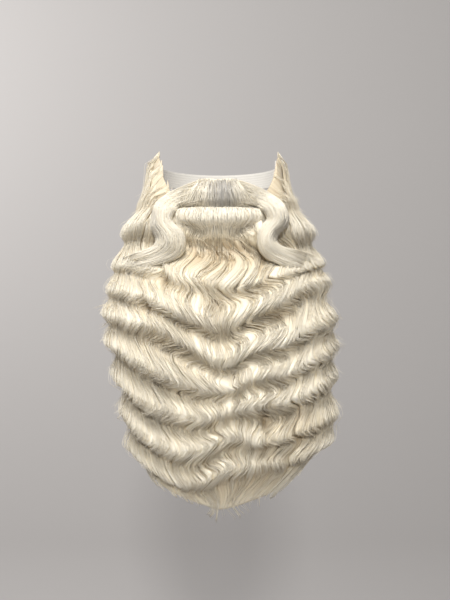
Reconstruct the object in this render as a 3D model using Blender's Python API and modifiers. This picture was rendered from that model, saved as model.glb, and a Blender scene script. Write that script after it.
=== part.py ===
"""A long wavy fake beard with its moustache, on a net foundation with a head elastic.

The frame is the wearer's: +Z up, the face looks along -Y, and the origin is the chin seat,
the foremost low point of the foundation's inner face.
"""
from collections import namedtuple
from math import radians

import bmesh
import bpy
import numpy as np

MM = 0.001

# Head that the foundation fits
FACE_HALF_BREADTH = 72 * MM
FACE_DEPTH = 95 * MM          # chin front to the front of the ear
HEAD_HALF_BREADTH = 76 * MM
HEAD_BACK = 197 * MM          # chin front to the back of the head
EAR_BEHIND = 22 * MM          # front of the ear to where the elastic rounds the head
UNDER_CHIN = 9 * MM           # how far the cup goes below the chin seat
CUP_TUCK = 24 * MM            # how far the cup turns in under the chin

# Foundation
NET_WALL = 1.5 * MM
SEAT_GAP = 0.4 * MM
TAB_TOP = 100 * MM
MOUTH_LOW = 28 * MM           # top of the chin base under the mouth
LIP_MID = 55 * MM
LIP_STRIP = 16 * MM
LIP_SPAN = radians(40)

# Elastic
ELASTIC_WIDTH = 22 * MM
ELASTIC_WALL = 1.2 * MM
ELASTIC_MID = 86 * MM
ELASTIC_LAP = 16 * MM
ELASTIC_CLEAR = 0.9 * MM      # elastic to the inside of the tab

# Beard
DROP = 293 * MM               # chin seat to the tip
HALF_WIDTH = 130 * MM
REACH = 60 * MM               # how far the beard stands in front of the chin seat
BODY = 46 * MM                # thickness of the hanging hair
WRAP = radians(96)            # half of the angle that the hair wraps, seen from above
WAVE = 10 * MM                # depth of a wave tier
DROOP = 5 * MM                # how far a crest hangs over the valley below it
SWAY = 11 * MM                # how far a lock swings sideways in a wave
LOCK = 17 * MM                # width of a lock
LOCK_GROOVE = 3.5 * MM
NET_CLEAR = 0.6 * MM          # hair to the net
PANEL_GAP = 1.2 * MM          # between two hair panels, on each side
PANEL_SPLIT = 0.44            # share of the wrap where the middle hair ends
RIM = 9 * MM                  # length over which the hair swells from its edge
TAPER = 46 * MM               # length over which it thins to the tip

# Lip roll
ROLL_HALF = 50 * MM
ROLL_MID = 18 * MM
ROLL_HEIGHT = 21 * MM
ROLL_DEPTH = 21 * MM
ROLL_END_RISE = 4 * MM
ROLL_PRESS = 0.80             # share of its half depth that the roll keeps where it lies on the net

# Moustache
TACHE_MID = 47 * MM           # height of the lobes at the parting
TACHE_FALL = 85 * MM          # height from there down to a lobe's end
TACHE_HALF = 66 * MM          # half breadth at the widest bend
TACHE_HALF_HEIGHT = 16 * MM
TACHE_HALF_DEPTH = 9 * MM
TACHE_PRESS = 1.5 * MM        # how far a full oval would press into what lies under it
LOBE_MARGIN = 1.0 * MM        # kept round the roll under a lobe
STRAND_GROOVE = 0.10          # depth of the three grooves round a lobe or the roll, as a share
LOBE_SINK = 20 * MM           # how far a lobe may sink beside the cheek hair's edge
PARTING_GAP = 1.6 * MM

# Shares of FACE_HALF_BREADTH at shares of TAB_TOP
Jaw = namedtuple("Jaw", "height breadth")
JAW = [Jaw(-0.1, 0.60), Jaw(0.0, 0.69), Jaw(0.2, 0.85), Jaw(0.5, 0.97), Jaw(1.0, 1.0)]

# Edges of the foundation: top and bottom as shares of TAB_TOP, at shares of the right angle round
Edge = namedtuple("Edge", "round top bottom")
EDGES = [
    Edge(0.0, 0.28, 0.0), Edge(0.3, 0.33, 0.0), Edge(0.5, 0.47, 0.06), Edge(0.68, 0.70, 0.16),
    Edge(0.82, 0.96, 0.28), Edge(1.0, 1.0, 0.42),
]

# The beard by height: half width and sideways shift as shares of HALF_WIDTH, widest line of
# FACE_DEPTH, front of REACH and thickness of BODY, at shares of DROP below the chin seat
Fall = namedtuple("Fall", "drop width shift widest front body")
FALL = [
    Fall(-0.36, 0.66, 0.00, 1.00, 0.22, 0.30), Fall(-0.20, 0.71, 0.00, 1.00, 0.24, 0.45),
    Fall(-0.10, 0.79, 0.00, 1.00, 0.30, 0.70), Fall(0.00, 0.87, 0.00, 0.98, 0.46, 1.00),
    Fall(0.10, 0.93, 0.00, 0.92, 0.76, 1.00), Fall(0.20, 0.97, 0.00, 0.82, 0.90, 1.00),
    Fall(0.35, 1.00, 0.02, 0.66, 0.98, 1.00), Fall(0.50, 0.94, 0.05, 0.52, 1.00, 0.96),
    Fall(0.60, 0.89, 0.09, 0.44, 0.98, 0.88), Fall(0.72, 0.87, 0.12, 0.33, 0.90, 0.76),
    Fall(0.80, 0.78, 0.10, 0.26, 0.82, 0.62), Fall(0.87, 0.68, 0.06, 0.17, 0.72, 0.50),
    Fall(0.93, 0.57, 0.03, 0.07, 0.62, 0.36), Fall(1.00, 0.38, 0.00, -0.06, 0.52, 0.22),
]

# Lines that the crests of the waves follow, as shares of DROP, at shares of the half width
CREST_AT = (-1.0, -0.75, -0.5, -0.25, 0.0, 0.25, 0.5, 0.75, 1.0)
CRESTS = [
    (-0.36, -0.36, -0.34, -0.28, -0.24, -0.28, -0.34, -0.36, -0.36),
    (-0.19, -0.18, -0.16, -0.13, -0.10, -0.13, -0.16, -0.18, -0.19),
    (-0.05, -0.045, -0.04, -0.035, -0.03, -0.035, -0.045, -0.05, -0.05),
    (0.09, 0.105, 0.125, 0.145, 0.175, 0.172, 0.14, 0.115, 0.085),
    (0.20, 0.24, 0.265, 0.305, 0.315, 0.275, 0.235, 0.185, 0.16),
    (0.305, 0.34, 0.39, 0.425, 0.445, 0.405, 0.38, 0.34, 0.30),
    (0.405, 0.45, 0.50, 0.54, 0.56, 0.52, 0.515, 0.48, 0.43),
    (0.54, 0.61, 0.63, 0.655, 0.65, 0.635, 0.63, 0.61, 0.565),
    (0.665, 0.735, 0.765, 0.775, 0.76, 0.765, 0.74, 0.705, 0.68),
    (0.775, 0.84, 0.875, 0.88, 0.88, 0.865, 0.85, 0.83, 0.77),
    (0.885, 0.925, 0.955, 0.98, 1.0, 0.985, 0.96, 0.93, 0.88),
]

# Top of the hair as shares of DROP, at shares of the wrap
Top = namedtuple("Top", "round top")
TOPS = [
    Top(0.0, -0.02), Top(0.2, -0.018), Top(0.44, -0.005), Top(0.54, 0.005), Top(0.64, -0.13),
    Top(0.72, -0.26), Top(0.82, -0.335), Top(1.0, -0.345),
]

# A moustache half: across as a share of TACHE_HALF, down of TACHE_FALL and size of
# TACHE_HALF_HEIGHT, from the parting to the end of the lock
Lobe = namedtuple("Lobe", "across down size")
LEFT_LOBE = [
    Lobe(0.03, 0.01, 0.80), Lobe(0.29, 0.00, 0.95), Lobe(0.56, 0.02, 0.95), Lobe(0.82, 0.11, 0.88),
    Lobe(0.97, 0.26, 0.78), Lobe(0.97, 0.43, 0.82), Lobe(0.85, 0.57, 0.92), Lobe(0.80, 0.71, 0.92),
    Lobe(0.94, 0.83, 0.74), Lobe(1.14, 0.89, 0.58), Lobe(1.34, 0.93, 0.44), Lobe(1.50, 1.02, 0.16),
]
RIGHT_LOBE = [
    Lobe(0.03, 0.01, 0.80), Lobe(0.29, 0.00, 0.95), Lobe(0.58, 0.02, 0.95), Lobe(0.84, 0.10, 0.92),
    Lobe(0.99, 0.23, 0.84), Lobe(0.95, 0.38, 0.84), Lobe(0.84, 0.54, 0.86), Lobe(0.88, 0.70, 0.88),
    Lobe(1.06, 0.80, 0.74), Lobe(1.25, 0.86, 0.58), Lobe(1.42, 0.93, 0.40), Lobe(1.54, 1.02, 0.16),
]


def smooth(x):
    """Smooth step from 0 to 1."""
    x = np.clip(x, 0.0, 1.0)
    return x * x * (3 - 2 * x)


def through(at, stations, values):
    """Smooth curve through values at stations: cubic pieces with mean slopes, flat ends."""
    stations = np.asarray(stations, float)
    values = np.asarray(values, float)
    slopes = np.gradient(values, stations)
    at = np.clip(at, stations[0], stations[-1])
    i = np.clip(np.searchsorted(stations, at) - 1, 0, len(stations) - 2)
    span = stations[i + 1] - stations[i]
    t = (at - stations[i]) / span
    rise = smooth(t)
    bend = t * (1 - t)
    return (
        values[i] * (1 - rise) + values[i + 1] * rise
        + span * bend * ((1 - t) * slopes[i] - t * slopes[i + 1])
    )


def column(rows, name):
    """One named column of a table."""
    return [getattr(row, name) for row in rows]


def jaw_breadth(z):
    """Half breadth of the foundation's inner face at a height."""
    return FACE_HALF_BREADTH * through(z / TAB_TOP, column(JAW, "height"), column(JAW, "breadth"))


def face_point(angle, z, out):
    """Point of the face's oval at an angle round from the chin, moved out by a length."""
    breadth = jaw_breadth(z) + out
    depth = FACE_DEPTH + out
    return np.stack([breadth * np.sin(angle), FACE_DEPTH - depth * np.cos(angle), z], axis=-1)


def fall(name, z):
    """One column of the beard's table at a height."""
    return through(-z / DROP, column(FALL, "drop"), column(FALL, name))


def hair_face(turn, z, out):
    """Point of the beard's smooth outer face at an angle, moved out by a length."""
    wide = HALF_WIDTH * fall("width", z) + out
    widest = FACE_DEPTH * fall("widest", z)
    deep = widest + REACH * fall("front", z) + out
    middle = HALF_WIDTH * fall("shift", z)
    return np.stack([middle + wide * np.sin(turn), widest - deep * np.cos(turn), z + 0 * turn], axis=-1)


def crest_heights(turn):
    """Heights of the crest lines at an angle round the beard, highest line first."""
    across = np.sin(turn)
    return np.stack([-DROP * through(across, CREST_AT, line) for line in CRESTS])


def wave_phase(turn, z):
    """Whole part: crests passed from the top. Fraction: way down from one to the next."""
    crests = crest_heights(turn)
    steps = (crests[:-1] - z) / (crests[:-1] - crests[1:])
    return np.clip(steps, 0, 1).sum(axis=0)


def wave_height(phase):
    """A tier's relief: it drops in fast under a crest and swells slowly to the next."""
    part = phase % 1.0
    undercut = 0.24
    return np.where(part < undercut, 1 - smooth(part / undercut),
                    smooth((part - undercut) / (1 - undercut)) ** 1.2)


def lock_relief(turn, z, phase):
    """Rounded locks, 0 on their backs and 1 in the grooves, that swing to the middle and back."""
    swing = SWAY * np.sin(turn) * np.cos(2 * np.pi * phase)
    run = (turn * HALF_WIDTH + swing) / LOCK
    return 1 - np.sqrt(np.abs(np.sin(np.pi * run)) + 0.02)


def hair_inner(turn, z):
    """Inner face of the hair: on the net above the chin, hanging free below it."""
    on_net = face_point(turn * (np.pi / 2) / WRAP, np.maximum(z, -0.1 * TAB_TOP), NET_WALL + NET_CLEAR)
    on_net[..., 2] = z
    hanging = hair_face(turn, z, -BODY * fall("body", z))
    free = smooth(-(z + 0.1 * TAB_TOP) / (0.18 * DROP))[..., None]
    return on_net * (1 - free) + hanging * free


def hair_outer(turn, z, edge):
    """Outer face with its wave tiers and locks; edge runs from 0 on the rim to 1 inside."""
    phase = wave_phase(turn, z)
    crest = wave_height(phase)
    relief = WAVE * (crest - 0.6) - LOCK_GROOVE * lock_relief(turn, z, phase)
    inner = hair_inner(turn, z)
    outer = hair_face(turn, z, relief)
    outer[..., 2] -= DROOP * crest * edge
    return inner + (outer - inner) * edge[..., None]


def hair_panel(start, end, across, down):
    """Grid of a panel between two shares of the wrap: its outer and its inner points."""
    share = np.linspace(start, end, across + 1)[:, None]
    run = np.linspace(0, 1, down + 1)[None, :]
    turn = share * WRAP + 0 * run
    top = -DROP * through(np.abs(share), column(TOPS, "round"), column(TOPS, "top"))
    low = crest_heights(turn)[-1]
    z = top + (low - top) * run
    side = np.minimum(share - start, end - share) * WRAP * HALF_WIDTH
    rim = np.sqrt(smooth(0.04 + side / RIM))
    top_rim = np.sqrt(smooth(0.04 + (top - z) / RIM))
    end_rim = smooth(0.05 + (z - low) / TAPER) ** 0.7
    edge = rim * top_rim * end_rim
    return hair_outer(turn, z, edge), hair_inner(turn, z)


def grid_faces(across, down, first=0):
    """Quads of a grid of points stored column by column."""
    i, j = np.meshgrid(np.arange(across), np.arange(down), indexing="ij")
    corner = first + i * (down + 1) + j
    return np.stack([corner, corner + 1, corner + down + 2, corner + down + 1], axis=-1).reshape(-1, 4)


def mesh_object(name, points, faces, material, home):
    """Object with a smooth mesh, in the beard's collection."""
    mesh = bpy.data.meshes.new(name)
    mesh.from_pydata(points.reshape(-1, 3).tolist(), [], [tuple(face) for face in faces])
    mesh.materials.append(material)
    mesh.shade_smooth()
    piece = bpy.data.objects.new(name, mesh)
    home.objects.link(piece)
    return piece


def close_between(piece):
    """Bridges the two open rims of a mesh and turns its faces outward."""
    shape = bmesh.new()
    shape.from_mesh(piece.data)
    rims = [edge for edge in shape.edges if edge.is_boundary]
    bmesh.ops.bridge_loops(shape, edges=rims)
    bmesh.ops.triangulate(shape, faces=shape.faces[:])
    bmesh.ops.recalc_face_normals(shape, faces=shape.faces[:])
    shape.to_mesh(piece.data)
    shape.free()


def hair_piece(name, start, end, across, down, material, home):
    """Closed hair panel: a fine outer face and a coarse inner one, joined along their rims."""
    outer, inner = hair_panel(start, end, across, down)
    inner = inner[::2, ::2]
    faces = np.concatenate([
        grid_faces(across, down),
        grid_faces(inner.shape[0] - 1, inner.shape[1] - 1, outer.shape[0] * outer.shape[1]),
    ])
    points = np.concatenate([outer.reshape(-1, 3), inner.reshape(-1, 3)])
    close_between(mesh_object(name, points, faces, material, home))


def sheet(name, points, wall, material, home):
    """Open surface given a wall on its outer side."""
    piece = mesh_object(name, points, grid_faces(points.shape[0] - 1, points.shape[1] - 1), material, home)
    thick = piece.modifiers.new("wall", "SOLIDIFY")
    thick.thickness = wall
    thick.offset = 1.0
    thick.use_even_offset = True
    return piece


def chin_base(material, home):
    """Net cup: round the jaw from tab to tab, with its low part turned in under the chin."""
    across, down = 32, 9
    share = np.linspace(-1, 1, across + 1)[:, None]
    run = np.linspace(0, 1, down + 1)[None, :]
    rounds = column(EDGES, "round")
    top = TAB_TOP * through(np.abs(share), rounds, column(EDGES, "top"))
    low = TAB_TOP * through(np.abs(share), rounds, column(EDGES, "bottom"))
    wall_part = 0.7
    z = top + (low - top) * np.minimum(run / wall_part, 1)
    tuck = np.maximum(run - wall_part, 0) / (1 - wall_part)
    under = np.maximum(0.0, 1 - np.abs(share) / 0.8) ** 0.5
    sink = UNDER_CHIN * np.sin(tuck * np.pi / 2) * under
    inward = CUP_TUCK * (1 - np.cos(tuck * np.pi / 2)) * under
    points = face_point(share * np.pi / 2 + 0 * run, z, -inward)
    points[..., 2] -= sink
    sheet("chin_base", points[:, ::-1], NET_WALL, material, home)


def lip_out(angle):
    """How far the lip strip's inner face stands off the face: its ends lie over the chin base."""
    return (NET_WALL + SEAT_GAP) * smooth((np.abs(angle) / LIP_SPAN - 0.35) / 0.3)


def lip_base(material, home):
    """Net strip on the upper lip; its ends drop and lap the outside of the chin base."""
    across, down = 20, 2
    share = np.linspace(-1, 1, across + 1)[:, None]
    run = np.linspace(0.5, -0.5, down + 1)[None, :]
    lap_height = TAB_TOP * through(LIP_SPAN / (np.pi / 2), column(EDGES, "round"), column(EDGES, "top"))
    lap = LIP_MID - (lap_height - 0.3 * LIP_STRIP)
    z = LIP_MID - lap * smooth(np.abs(share)) + LIP_STRIP * run
    angle = share * LIP_SPAN + 0 * run
    points = face_point(angle, z, lip_out(angle))
    sheet("lip_base", points[:, ::-1], NET_WALL, material, home)


def head_elastic(material, home):
    """Flat band from the inside of one tab round the back of the head to the other."""
    back_steps, lap_steps = 30, 3
    inside = jaw_breadth(np.array(ELASTIC_MID)) - ELASTIC_CLEAR - ELASTIC_WALL
    ear = FACE_DEPTH + EAR_BEHIND
    turn = np.linspace(0, np.pi, back_steps + 1)
    back = np.stack([HEAD_HALF_BREADTH * np.cos(turn), ear + (HEAD_BACK - ear) * np.sin(turn)], axis=1)
    lap = np.linspace(0, 1, lap_steps + 1)
    lap_y = FACE_DEPTH - ELASTIC_LAP * (1 - lap)
    lap_x = inside * np.sin(np.arccos((FACE_DEPTH - lap_y) / FACE_DEPTH))
    right = np.stack([lap_x, lap_y], axis=1)
    left = right[::-1] * (-1, 1)
    path = np.concatenate([right, back, left])
    run = np.array([-0.5, 0.5])
    points = np.zeros((len(path), 2, 3))
    points[..., :2] = path[:, None, :]
    points[..., 2] = ELASTIC_MID + ELASTIC_WIDTH * run
    sheet("head_elastic", points[::-1, ::-1], ELASTIC_WALL, material, home)


def lofted_lock(name, centres, half_high, half_deep, material, home):
    """Closed lock: grooved ovals carried along a path, closed by a point at each end."""
    around = 18
    steps = len(centres)
    along = np.gradient(centres, axis=0)
    along /= np.linalg.norm(along, axis=1, keepdims=True)
    up = np.cross(along, (0.0, -1.0, 0.0))
    up /= np.linalg.norm(up, axis=1, keepdims=True)
    out = np.cross(up, along)
    angle = np.linspace(0, 2 * np.pi, around, endpoint=False)[None, :, None]
    groove = 1 - STRAND_GROOVE * np.abs(np.sin(3.0 * angle + 0.8))
    ring = (
        centres[:, None, :]
        + groove * half_high[:, None, None] * np.cos(angle) * up[:, None, :]
        + groove * half_deep[:, None, None] * np.sin(angle) * out[:, None, :]
    )
    points = np.concatenate([ring.reshape(-1, 3), centres[:1], centres[-1:]])
    i, j = np.meshgrid(np.arange(steps - 1), np.arange(around), indexing="ij")
    near, far = i * around + j, i * around + (j + 1) % around
    faces = np.stack([near, far, far + around, near + around], axis=-1).reshape(-1, 4).tolist()
    ends = len(points) - 2
    for k in range(around):
        faces.append([k, ends, (k + 1) % around])
        last = (steps - 1) * around
        faces.append([last + (k + 1) % around, ends + 1, last + k])
    piece = mesh_object(name, points, faces, material, home)
    shape = bmesh.new()
    shape.from_mesh(piece.data)
    bmesh.ops.recalc_face_normals(shape, faces=shape.faces[:])
    shape.to_mesh(piece.data)
    shape.free()


def roll_thickness(share):
    """Thickness of the roll as a share of its middle, at a share of its half length."""
    return (1 - 0.98 * np.clip(share, -1, 1) ** 2) ** 0.35


def lip_roll(material, home):
    """Roll of hair across the chin, thickest in the middle and drawn out at its ends."""
    share = np.linspace(-1, 1, 17)
    thick = roll_thickness(share)
    half_deep = 0.5 * ROLL_DEPTH * thick
    x = ROLL_HALF * share
    z = ROLL_MID + ROLL_END_RISE * share ** 2
    angle = np.arcsin(np.clip(x / (jaw_breadth(z) + half_deep), -1, 1))
    centres = face_point(angle, z, NET_WALL + NET_CLEAR + ROLL_PRESS * half_deep)
    lofted_lock("lip_roll", centres, 0.5 * ROLL_HEIGHT * thick, half_deep, material, home)


def front_under(across, z):
    """Depth of what a lobe lies on, seen from the front: hair, else the roll, else the net."""
    angle = np.arcsin(np.clip(across / (jaw_breadth(z) + NET_WALL), 0, 1))
    net = face_point(angle, z, NET_WALL + lip_out(angle))[..., 1]
    turn = np.arcsin(np.clip(across / (HALF_WIDTH * fall("width", z)), 0, 1))
    hair = hair_face(turn, z, 0.4 * WAVE)[..., 1]
    top = -DROP * through(turn / WRAP, column(TOPS, "round"), column(TOPS, "top"))
    behind = np.minimum(net, hair + LOBE_SINK)
    lying = np.minimum(behind, behind + (hair - behind) * smooth(0.3 + (top - z) / RIM))
    thick = roll_thickness(across / (ROLL_HALF + LOBE_MARGIN))
    rise = np.clip((z - ROLL_MID) / (0.5 * ROLL_HEIGHT * thick + LOBE_MARGIN), -1, 1)
    roll = net - 0.5 * ROLL_DEPTH * thick * (1 + np.sqrt(1 - rise ** 2))
    return np.where(np.abs(rise) < 1, np.minimum(lying, roll), lying)


def moustache(name, rows, hand, material, home):
    """Half of the moustache: along the lip, in beside the mouth, then out over the cheek hair."""
    station = np.linspace(0, 1, len(rows))
    at = np.linspace(0, 1, 28)
    across = TACHE_HALF * through(at, station, column(rows, "across"))
    size = through(at, station, column(rows, "size"))
    z = TACHE_MID - TACHE_FALL * through(at, station, column(rows, "down"))
    half_high = TACHE_HALF_HEIGHT * size
    half_deep = TACHE_HALF_DEPTH * np.minimum(size * 1.1, 1)
    depths = []
    for part in (0.0, 0.5, 0.95):
        back = half_deep * np.sqrt(1 - part ** 2)
        for side, rise in ((-1, 0), (1, 0), (0, -1), (0, 1)):
            off = part * half_high
            depths.append(front_under(np.abs(across + side * off), z + rise * off) - back)
    depth = np.min(depths, axis=0) + TACHE_PRESS
    for _ in range(3):
        depth = np.minimum(depth, np.convolve(np.pad(depth, 1, mode="edge"), (0.25, 0.5, 0.25), "valid"))
    centres = np.stack([hand * (across + PARTING_GAP), depth, z], axis=-1)
    lofted_lock(name, centres, half_high, half_deep, material, home)


def finish(name, colour, roughness):
    """Principled material in one colour."""
    material = bpy.data.materials.new(name)
    material.use_nodes = True
    shader = material.node_tree.nodes["Principled BSDF"]
    shader.inputs["Base Color"].default_value = (*colour, 1)
    shader.inputs["Roughness"].default_value = roughness
    shader.inputs["Metallic"].default_value = 0
    return material


def build():
    """All of the pieces, in one collection."""
    for old in list(bpy.data.objects):
        bpy.data.objects.remove(old)
    home = bpy.data.collections.new("fake_beard")
    bpy.context.scene.collection.children.link(home)
    cream = (0.86, 0.82, 0.70)
    chin_base(finish("net", (0.78, 0.70, 0.58), 0.8), home)
    lip_base(finish("lip_net", (0.80, 0.72, 0.60), 0.8), home)
    head_elastic(finish("elastic", (0.85, 0.83, 0.78), 0.85), home)
    lip_roll(finish("roll_hair", cream, 0.5), home)
    seam = PANEL_GAP / (WRAP * HALF_WIDTH)
    hair_piece("chin_hair", seam - PANEL_SPLIT, PANEL_SPLIT - seam, 24, 44,
               finish("front_hair", cream, 0.5), home)
    hair_piece("cheek_hair_left", -1, -PANEL_SPLIT - seam, 16, 48,
               finish("left_hair", cream, 0.5), home)
    hair_piece("cheek_hair_right", PANEL_SPLIT + seam, 1, 16, 48,
               finish("right_hair", cream, 0.5), home)
    moustache("moustache_left", LEFT_LOBE, -1, finish("left_moustache", (0.88, 0.86, 0.80), 0.5), home)
    moustache("moustache_right", RIGHT_LOBE, 1, finish("right_moustache", (0.88, 0.86, 0.80), 0.5), home)


build()
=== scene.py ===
"""A long wavy fake beard with its moustache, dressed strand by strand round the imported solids.

Lengths are in millimetres, and a mesh is put into metres as it is made. The frame is the solids':
+Z up, the front looks along -Y, and the origin is the chin seat. A place in the hair is given by its
turn, the angle round the beard seen from above, and its phase, the number of wave crests above it.
"""
import logging
from dataclasses import dataclass, field
from enum import Enum
from typing import NamedTuple

import bpy
import numpy as np
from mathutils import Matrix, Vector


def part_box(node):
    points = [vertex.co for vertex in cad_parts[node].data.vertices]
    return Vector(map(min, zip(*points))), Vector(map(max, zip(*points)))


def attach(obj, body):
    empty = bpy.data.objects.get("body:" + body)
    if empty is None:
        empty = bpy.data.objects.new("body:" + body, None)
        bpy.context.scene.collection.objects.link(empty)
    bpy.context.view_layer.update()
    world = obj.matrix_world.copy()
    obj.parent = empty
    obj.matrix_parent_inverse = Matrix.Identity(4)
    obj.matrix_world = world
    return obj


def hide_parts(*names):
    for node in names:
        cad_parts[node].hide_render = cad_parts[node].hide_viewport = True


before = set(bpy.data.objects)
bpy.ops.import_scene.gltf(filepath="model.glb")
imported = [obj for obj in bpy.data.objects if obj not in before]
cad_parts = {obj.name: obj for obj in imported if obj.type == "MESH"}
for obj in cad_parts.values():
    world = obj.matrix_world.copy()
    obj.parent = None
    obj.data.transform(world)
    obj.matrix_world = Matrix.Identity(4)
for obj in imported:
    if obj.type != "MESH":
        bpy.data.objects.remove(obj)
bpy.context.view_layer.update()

LOG = logging.getLogger("fake_beard")
MM = 0.001
Array = np.ndarray
Triple = tuple[float, float, float]


class Hand(Enum):
    """Side of the beard as the camera sees it, with its sign along X."""

    LEFT = -1
    RIGHT = 1


class Fall(NamedTuple):
    """The beard's smooth form at a share of its drop."""

    drop: float
    width: float
    shift: float
    widest: float
    front: float
    body: float


class HollowAndShade(NamedTuple):
    """A gap or sunken patch between locks, seen from the front, with shade painted into the hair's colour;
    one with no depth is only painted shade.
    """

    across: float
    height: float
    half_across: float
    half_height: float
    depth: float
    shade: float


class Edge(NamedTuple):
    """Both edges of a moustache half at one place on its way, and how thick it is there."""

    over_x: float
    over_z: float
    under_x: float
    under_z: float
    thick: float


class Lamp(NamedTuple):
    """A square soft lamp that points from its place to its aim, in metres."""

    name: str
    place: Triple
    aim: Triple
    size: float
    power: float
    colour: Triple


class Locks(NamedTuple):
    """A layer of flat locks: how many, their length in waves, half width, height and valley brightness,
    set lower for the under layer as painted shade.
    """

    name: str
    count: int
    tiers: float
    half: float
    lift: float
    tone: float


class Strands(NamedTuple):
    """A layer of strands in groups, their length in waves, and how they lie; tabs start on the tabs."""

    name: str
    count: int
    group: int
    tiers: float
    lift: float
    tone: float
    radius: float
    loose: float = 0.0
    tabs: bool = False


# The smooth form, from over the tabs down to the tip, in shares of the beard's drop and sizes
FALL = (
    Fall(-0.36, 0.66, 0.00, 1.00, 0.22, 0.30), Fall(-0.20, 0.71, 0.00, 1.00, 0.24, 0.45),
    Fall(-0.10, 0.79, 0.00, 1.00, 0.25, 0.70), Fall(0.00, 0.87, 0.00, 0.98, 0.22, 1.00),
    Fall(0.05, 0.90, 0.00, 0.96, 0.21, 1.00), Fall(0.08, 0.92, 0.00, 0.94, 0.27, 1.00),
    Fall(0.12, 0.94, 0.00, 0.90, 0.54, 1.00), Fall(0.17, 0.96, 0.00, 0.86, 0.82, 1.00),
    Fall(0.22, 0.98, 0.00, 0.80, 0.92, 1.00), Fall(0.35, 1.00, 0.02, 0.66, 0.98, 1.00),
    Fall(0.50, 0.95, 0.05, 0.52, 1.00, 0.96), Fall(0.60, 0.91, 0.08, 0.44, 0.98, 0.88),
    Fall(0.72, 0.89, 0.10, 0.33, 0.92, 0.76), Fall(0.80, 0.82, 0.08, 0.26, 0.86, 0.62),
    Fall(0.87, 0.74, 0.05, 0.17, 0.78, 0.50), Fall(0.93, 0.66, 0.03, 0.07, 0.70, 0.36),
    Fall(1.00, 0.54, 0.01, -0.06, 0.60, 0.22),
)
# Crest lines: depths at places across in shares of the drop, and where each row parts
CREST_AT = (-1.0, -0.75, -0.5, -0.25, 0.0, 0.25, 0.5, 0.75, 1.0)
LEANS = (0.0, 0.0, -0.40, -0.38, 0.02, -0.10, 0.22, -0.04, 0.14, 0.24, 0.00)
CRESTS = (
    (-0.36, -0.36, -0.34, -0.28, -0.24, -0.28, -0.34, -0.36, -0.36),
    (-0.19, -0.18, -0.16, -0.13, -0.10, -0.13, -0.16, -0.18, -0.19),
    (-0.05, -0.045, -0.04, -0.035, -0.03, -0.035, -0.045, -0.05, -0.05),
    (0.09, 0.105, 0.125, 0.145, 0.175, 0.172, 0.14, 0.115, 0.085),
    (0.185, 0.215, 0.245, 0.305, 0.34, 0.295, 0.235, 0.175, 0.155),
    (0.29, 0.315, 0.335, 0.395, 0.47, 0.42, 0.395, 0.34, 0.30),
    (0.405, 0.45, 0.50, 0.54, 0.555, 0.515, 0.50, 0.46, 0.41),
    (0.54, 0.61, 0.63, 0.645, 0.63, 0.605, 0.60, 0.565, 0.52),
    (0.665, 0.735, 0.765, 0.76, 0.715, 0.745, 0.73, 0.70, 0.67),
    (0.80, 0.88, 0.915, 0.895, 0.84, 0.825, 0.82, 0.81, 0.77),
    (0.90, 0.94, 0.965, 0.985, 1.0, 0.99, 0.97, 0.945, 0.90),
)
# Edge where the hair starts, from the chin round to the rim, as depths in shares of the drop
TOP_AT = (0.0, 0.20, 0.28, 0.40, 0.50, 0.60, 0.68, 0.76, 0.83, 1.0)
TOPS = (-0.02, -0.025, -0.09, -0.12, -0.158, -0.205, -0.26, -0.315, -0.345, -0.35)
# Half breadth of the net from the chin up to the top of the tabs, as shares
JAW_AT = (-0.1, 0.0, 0.2, 0.5, 1.0)
JAW_BREADTHS = (0.60, 0.69, 0.85, 0.97, 1.0)
# The net cup's upper and lower edge from the chin to the tab, in shares of the tab's height
CUP_AT = (0.0, 0.3, 0.5, 0.68, 0.82, 1.0)
CUP_TOPS = (0.28, 0.33, 0.47, 0.70, 0.96, 1.0)
CUP_LOWS = (0.0, 0.0, 0.06, 0.16, 0.28, 0.42)
# Gaps and sunken patches, and patches of painted shade alone, in millimetres from the chin seat;
# the last column is shade painted into the hair's colour there
HOLLOWS_AND_SHADE = (
    HollowAndShade(-61, -45, 6, 13, 12, 0.45), HollowAndShade(51, -38, 9, 18, 10, 0.45), HollowAndShade(68, -89, 22, 7, 5, 0.3),
    HollowAndShade(-79, -75, 5, 8, 10, 0.5), HollowAndShade(72, 2, 10, 10, 10, 0.4), HollowAndShade(52, -200, 5, 26, 9, 0.45),
    HollowAndShade(2, -9, 42, 13, 8, 0.6), HollowAndShade(86, -203, 32, 17, 5, 0.42), HollowAndShade(-50, -105, 34, 10, 3, 0.2),
    HollowAndShade(74, -236, 30, 8, 6, 0.3), HollowAndShade(-46, 12, 4, 7, 5, 0.18), HollowAndShade(-8, -36, 48, 17, 0, 0.30),
    HollowAndShade(0, -80, 44, 16, 0, 0.16),
)
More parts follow.
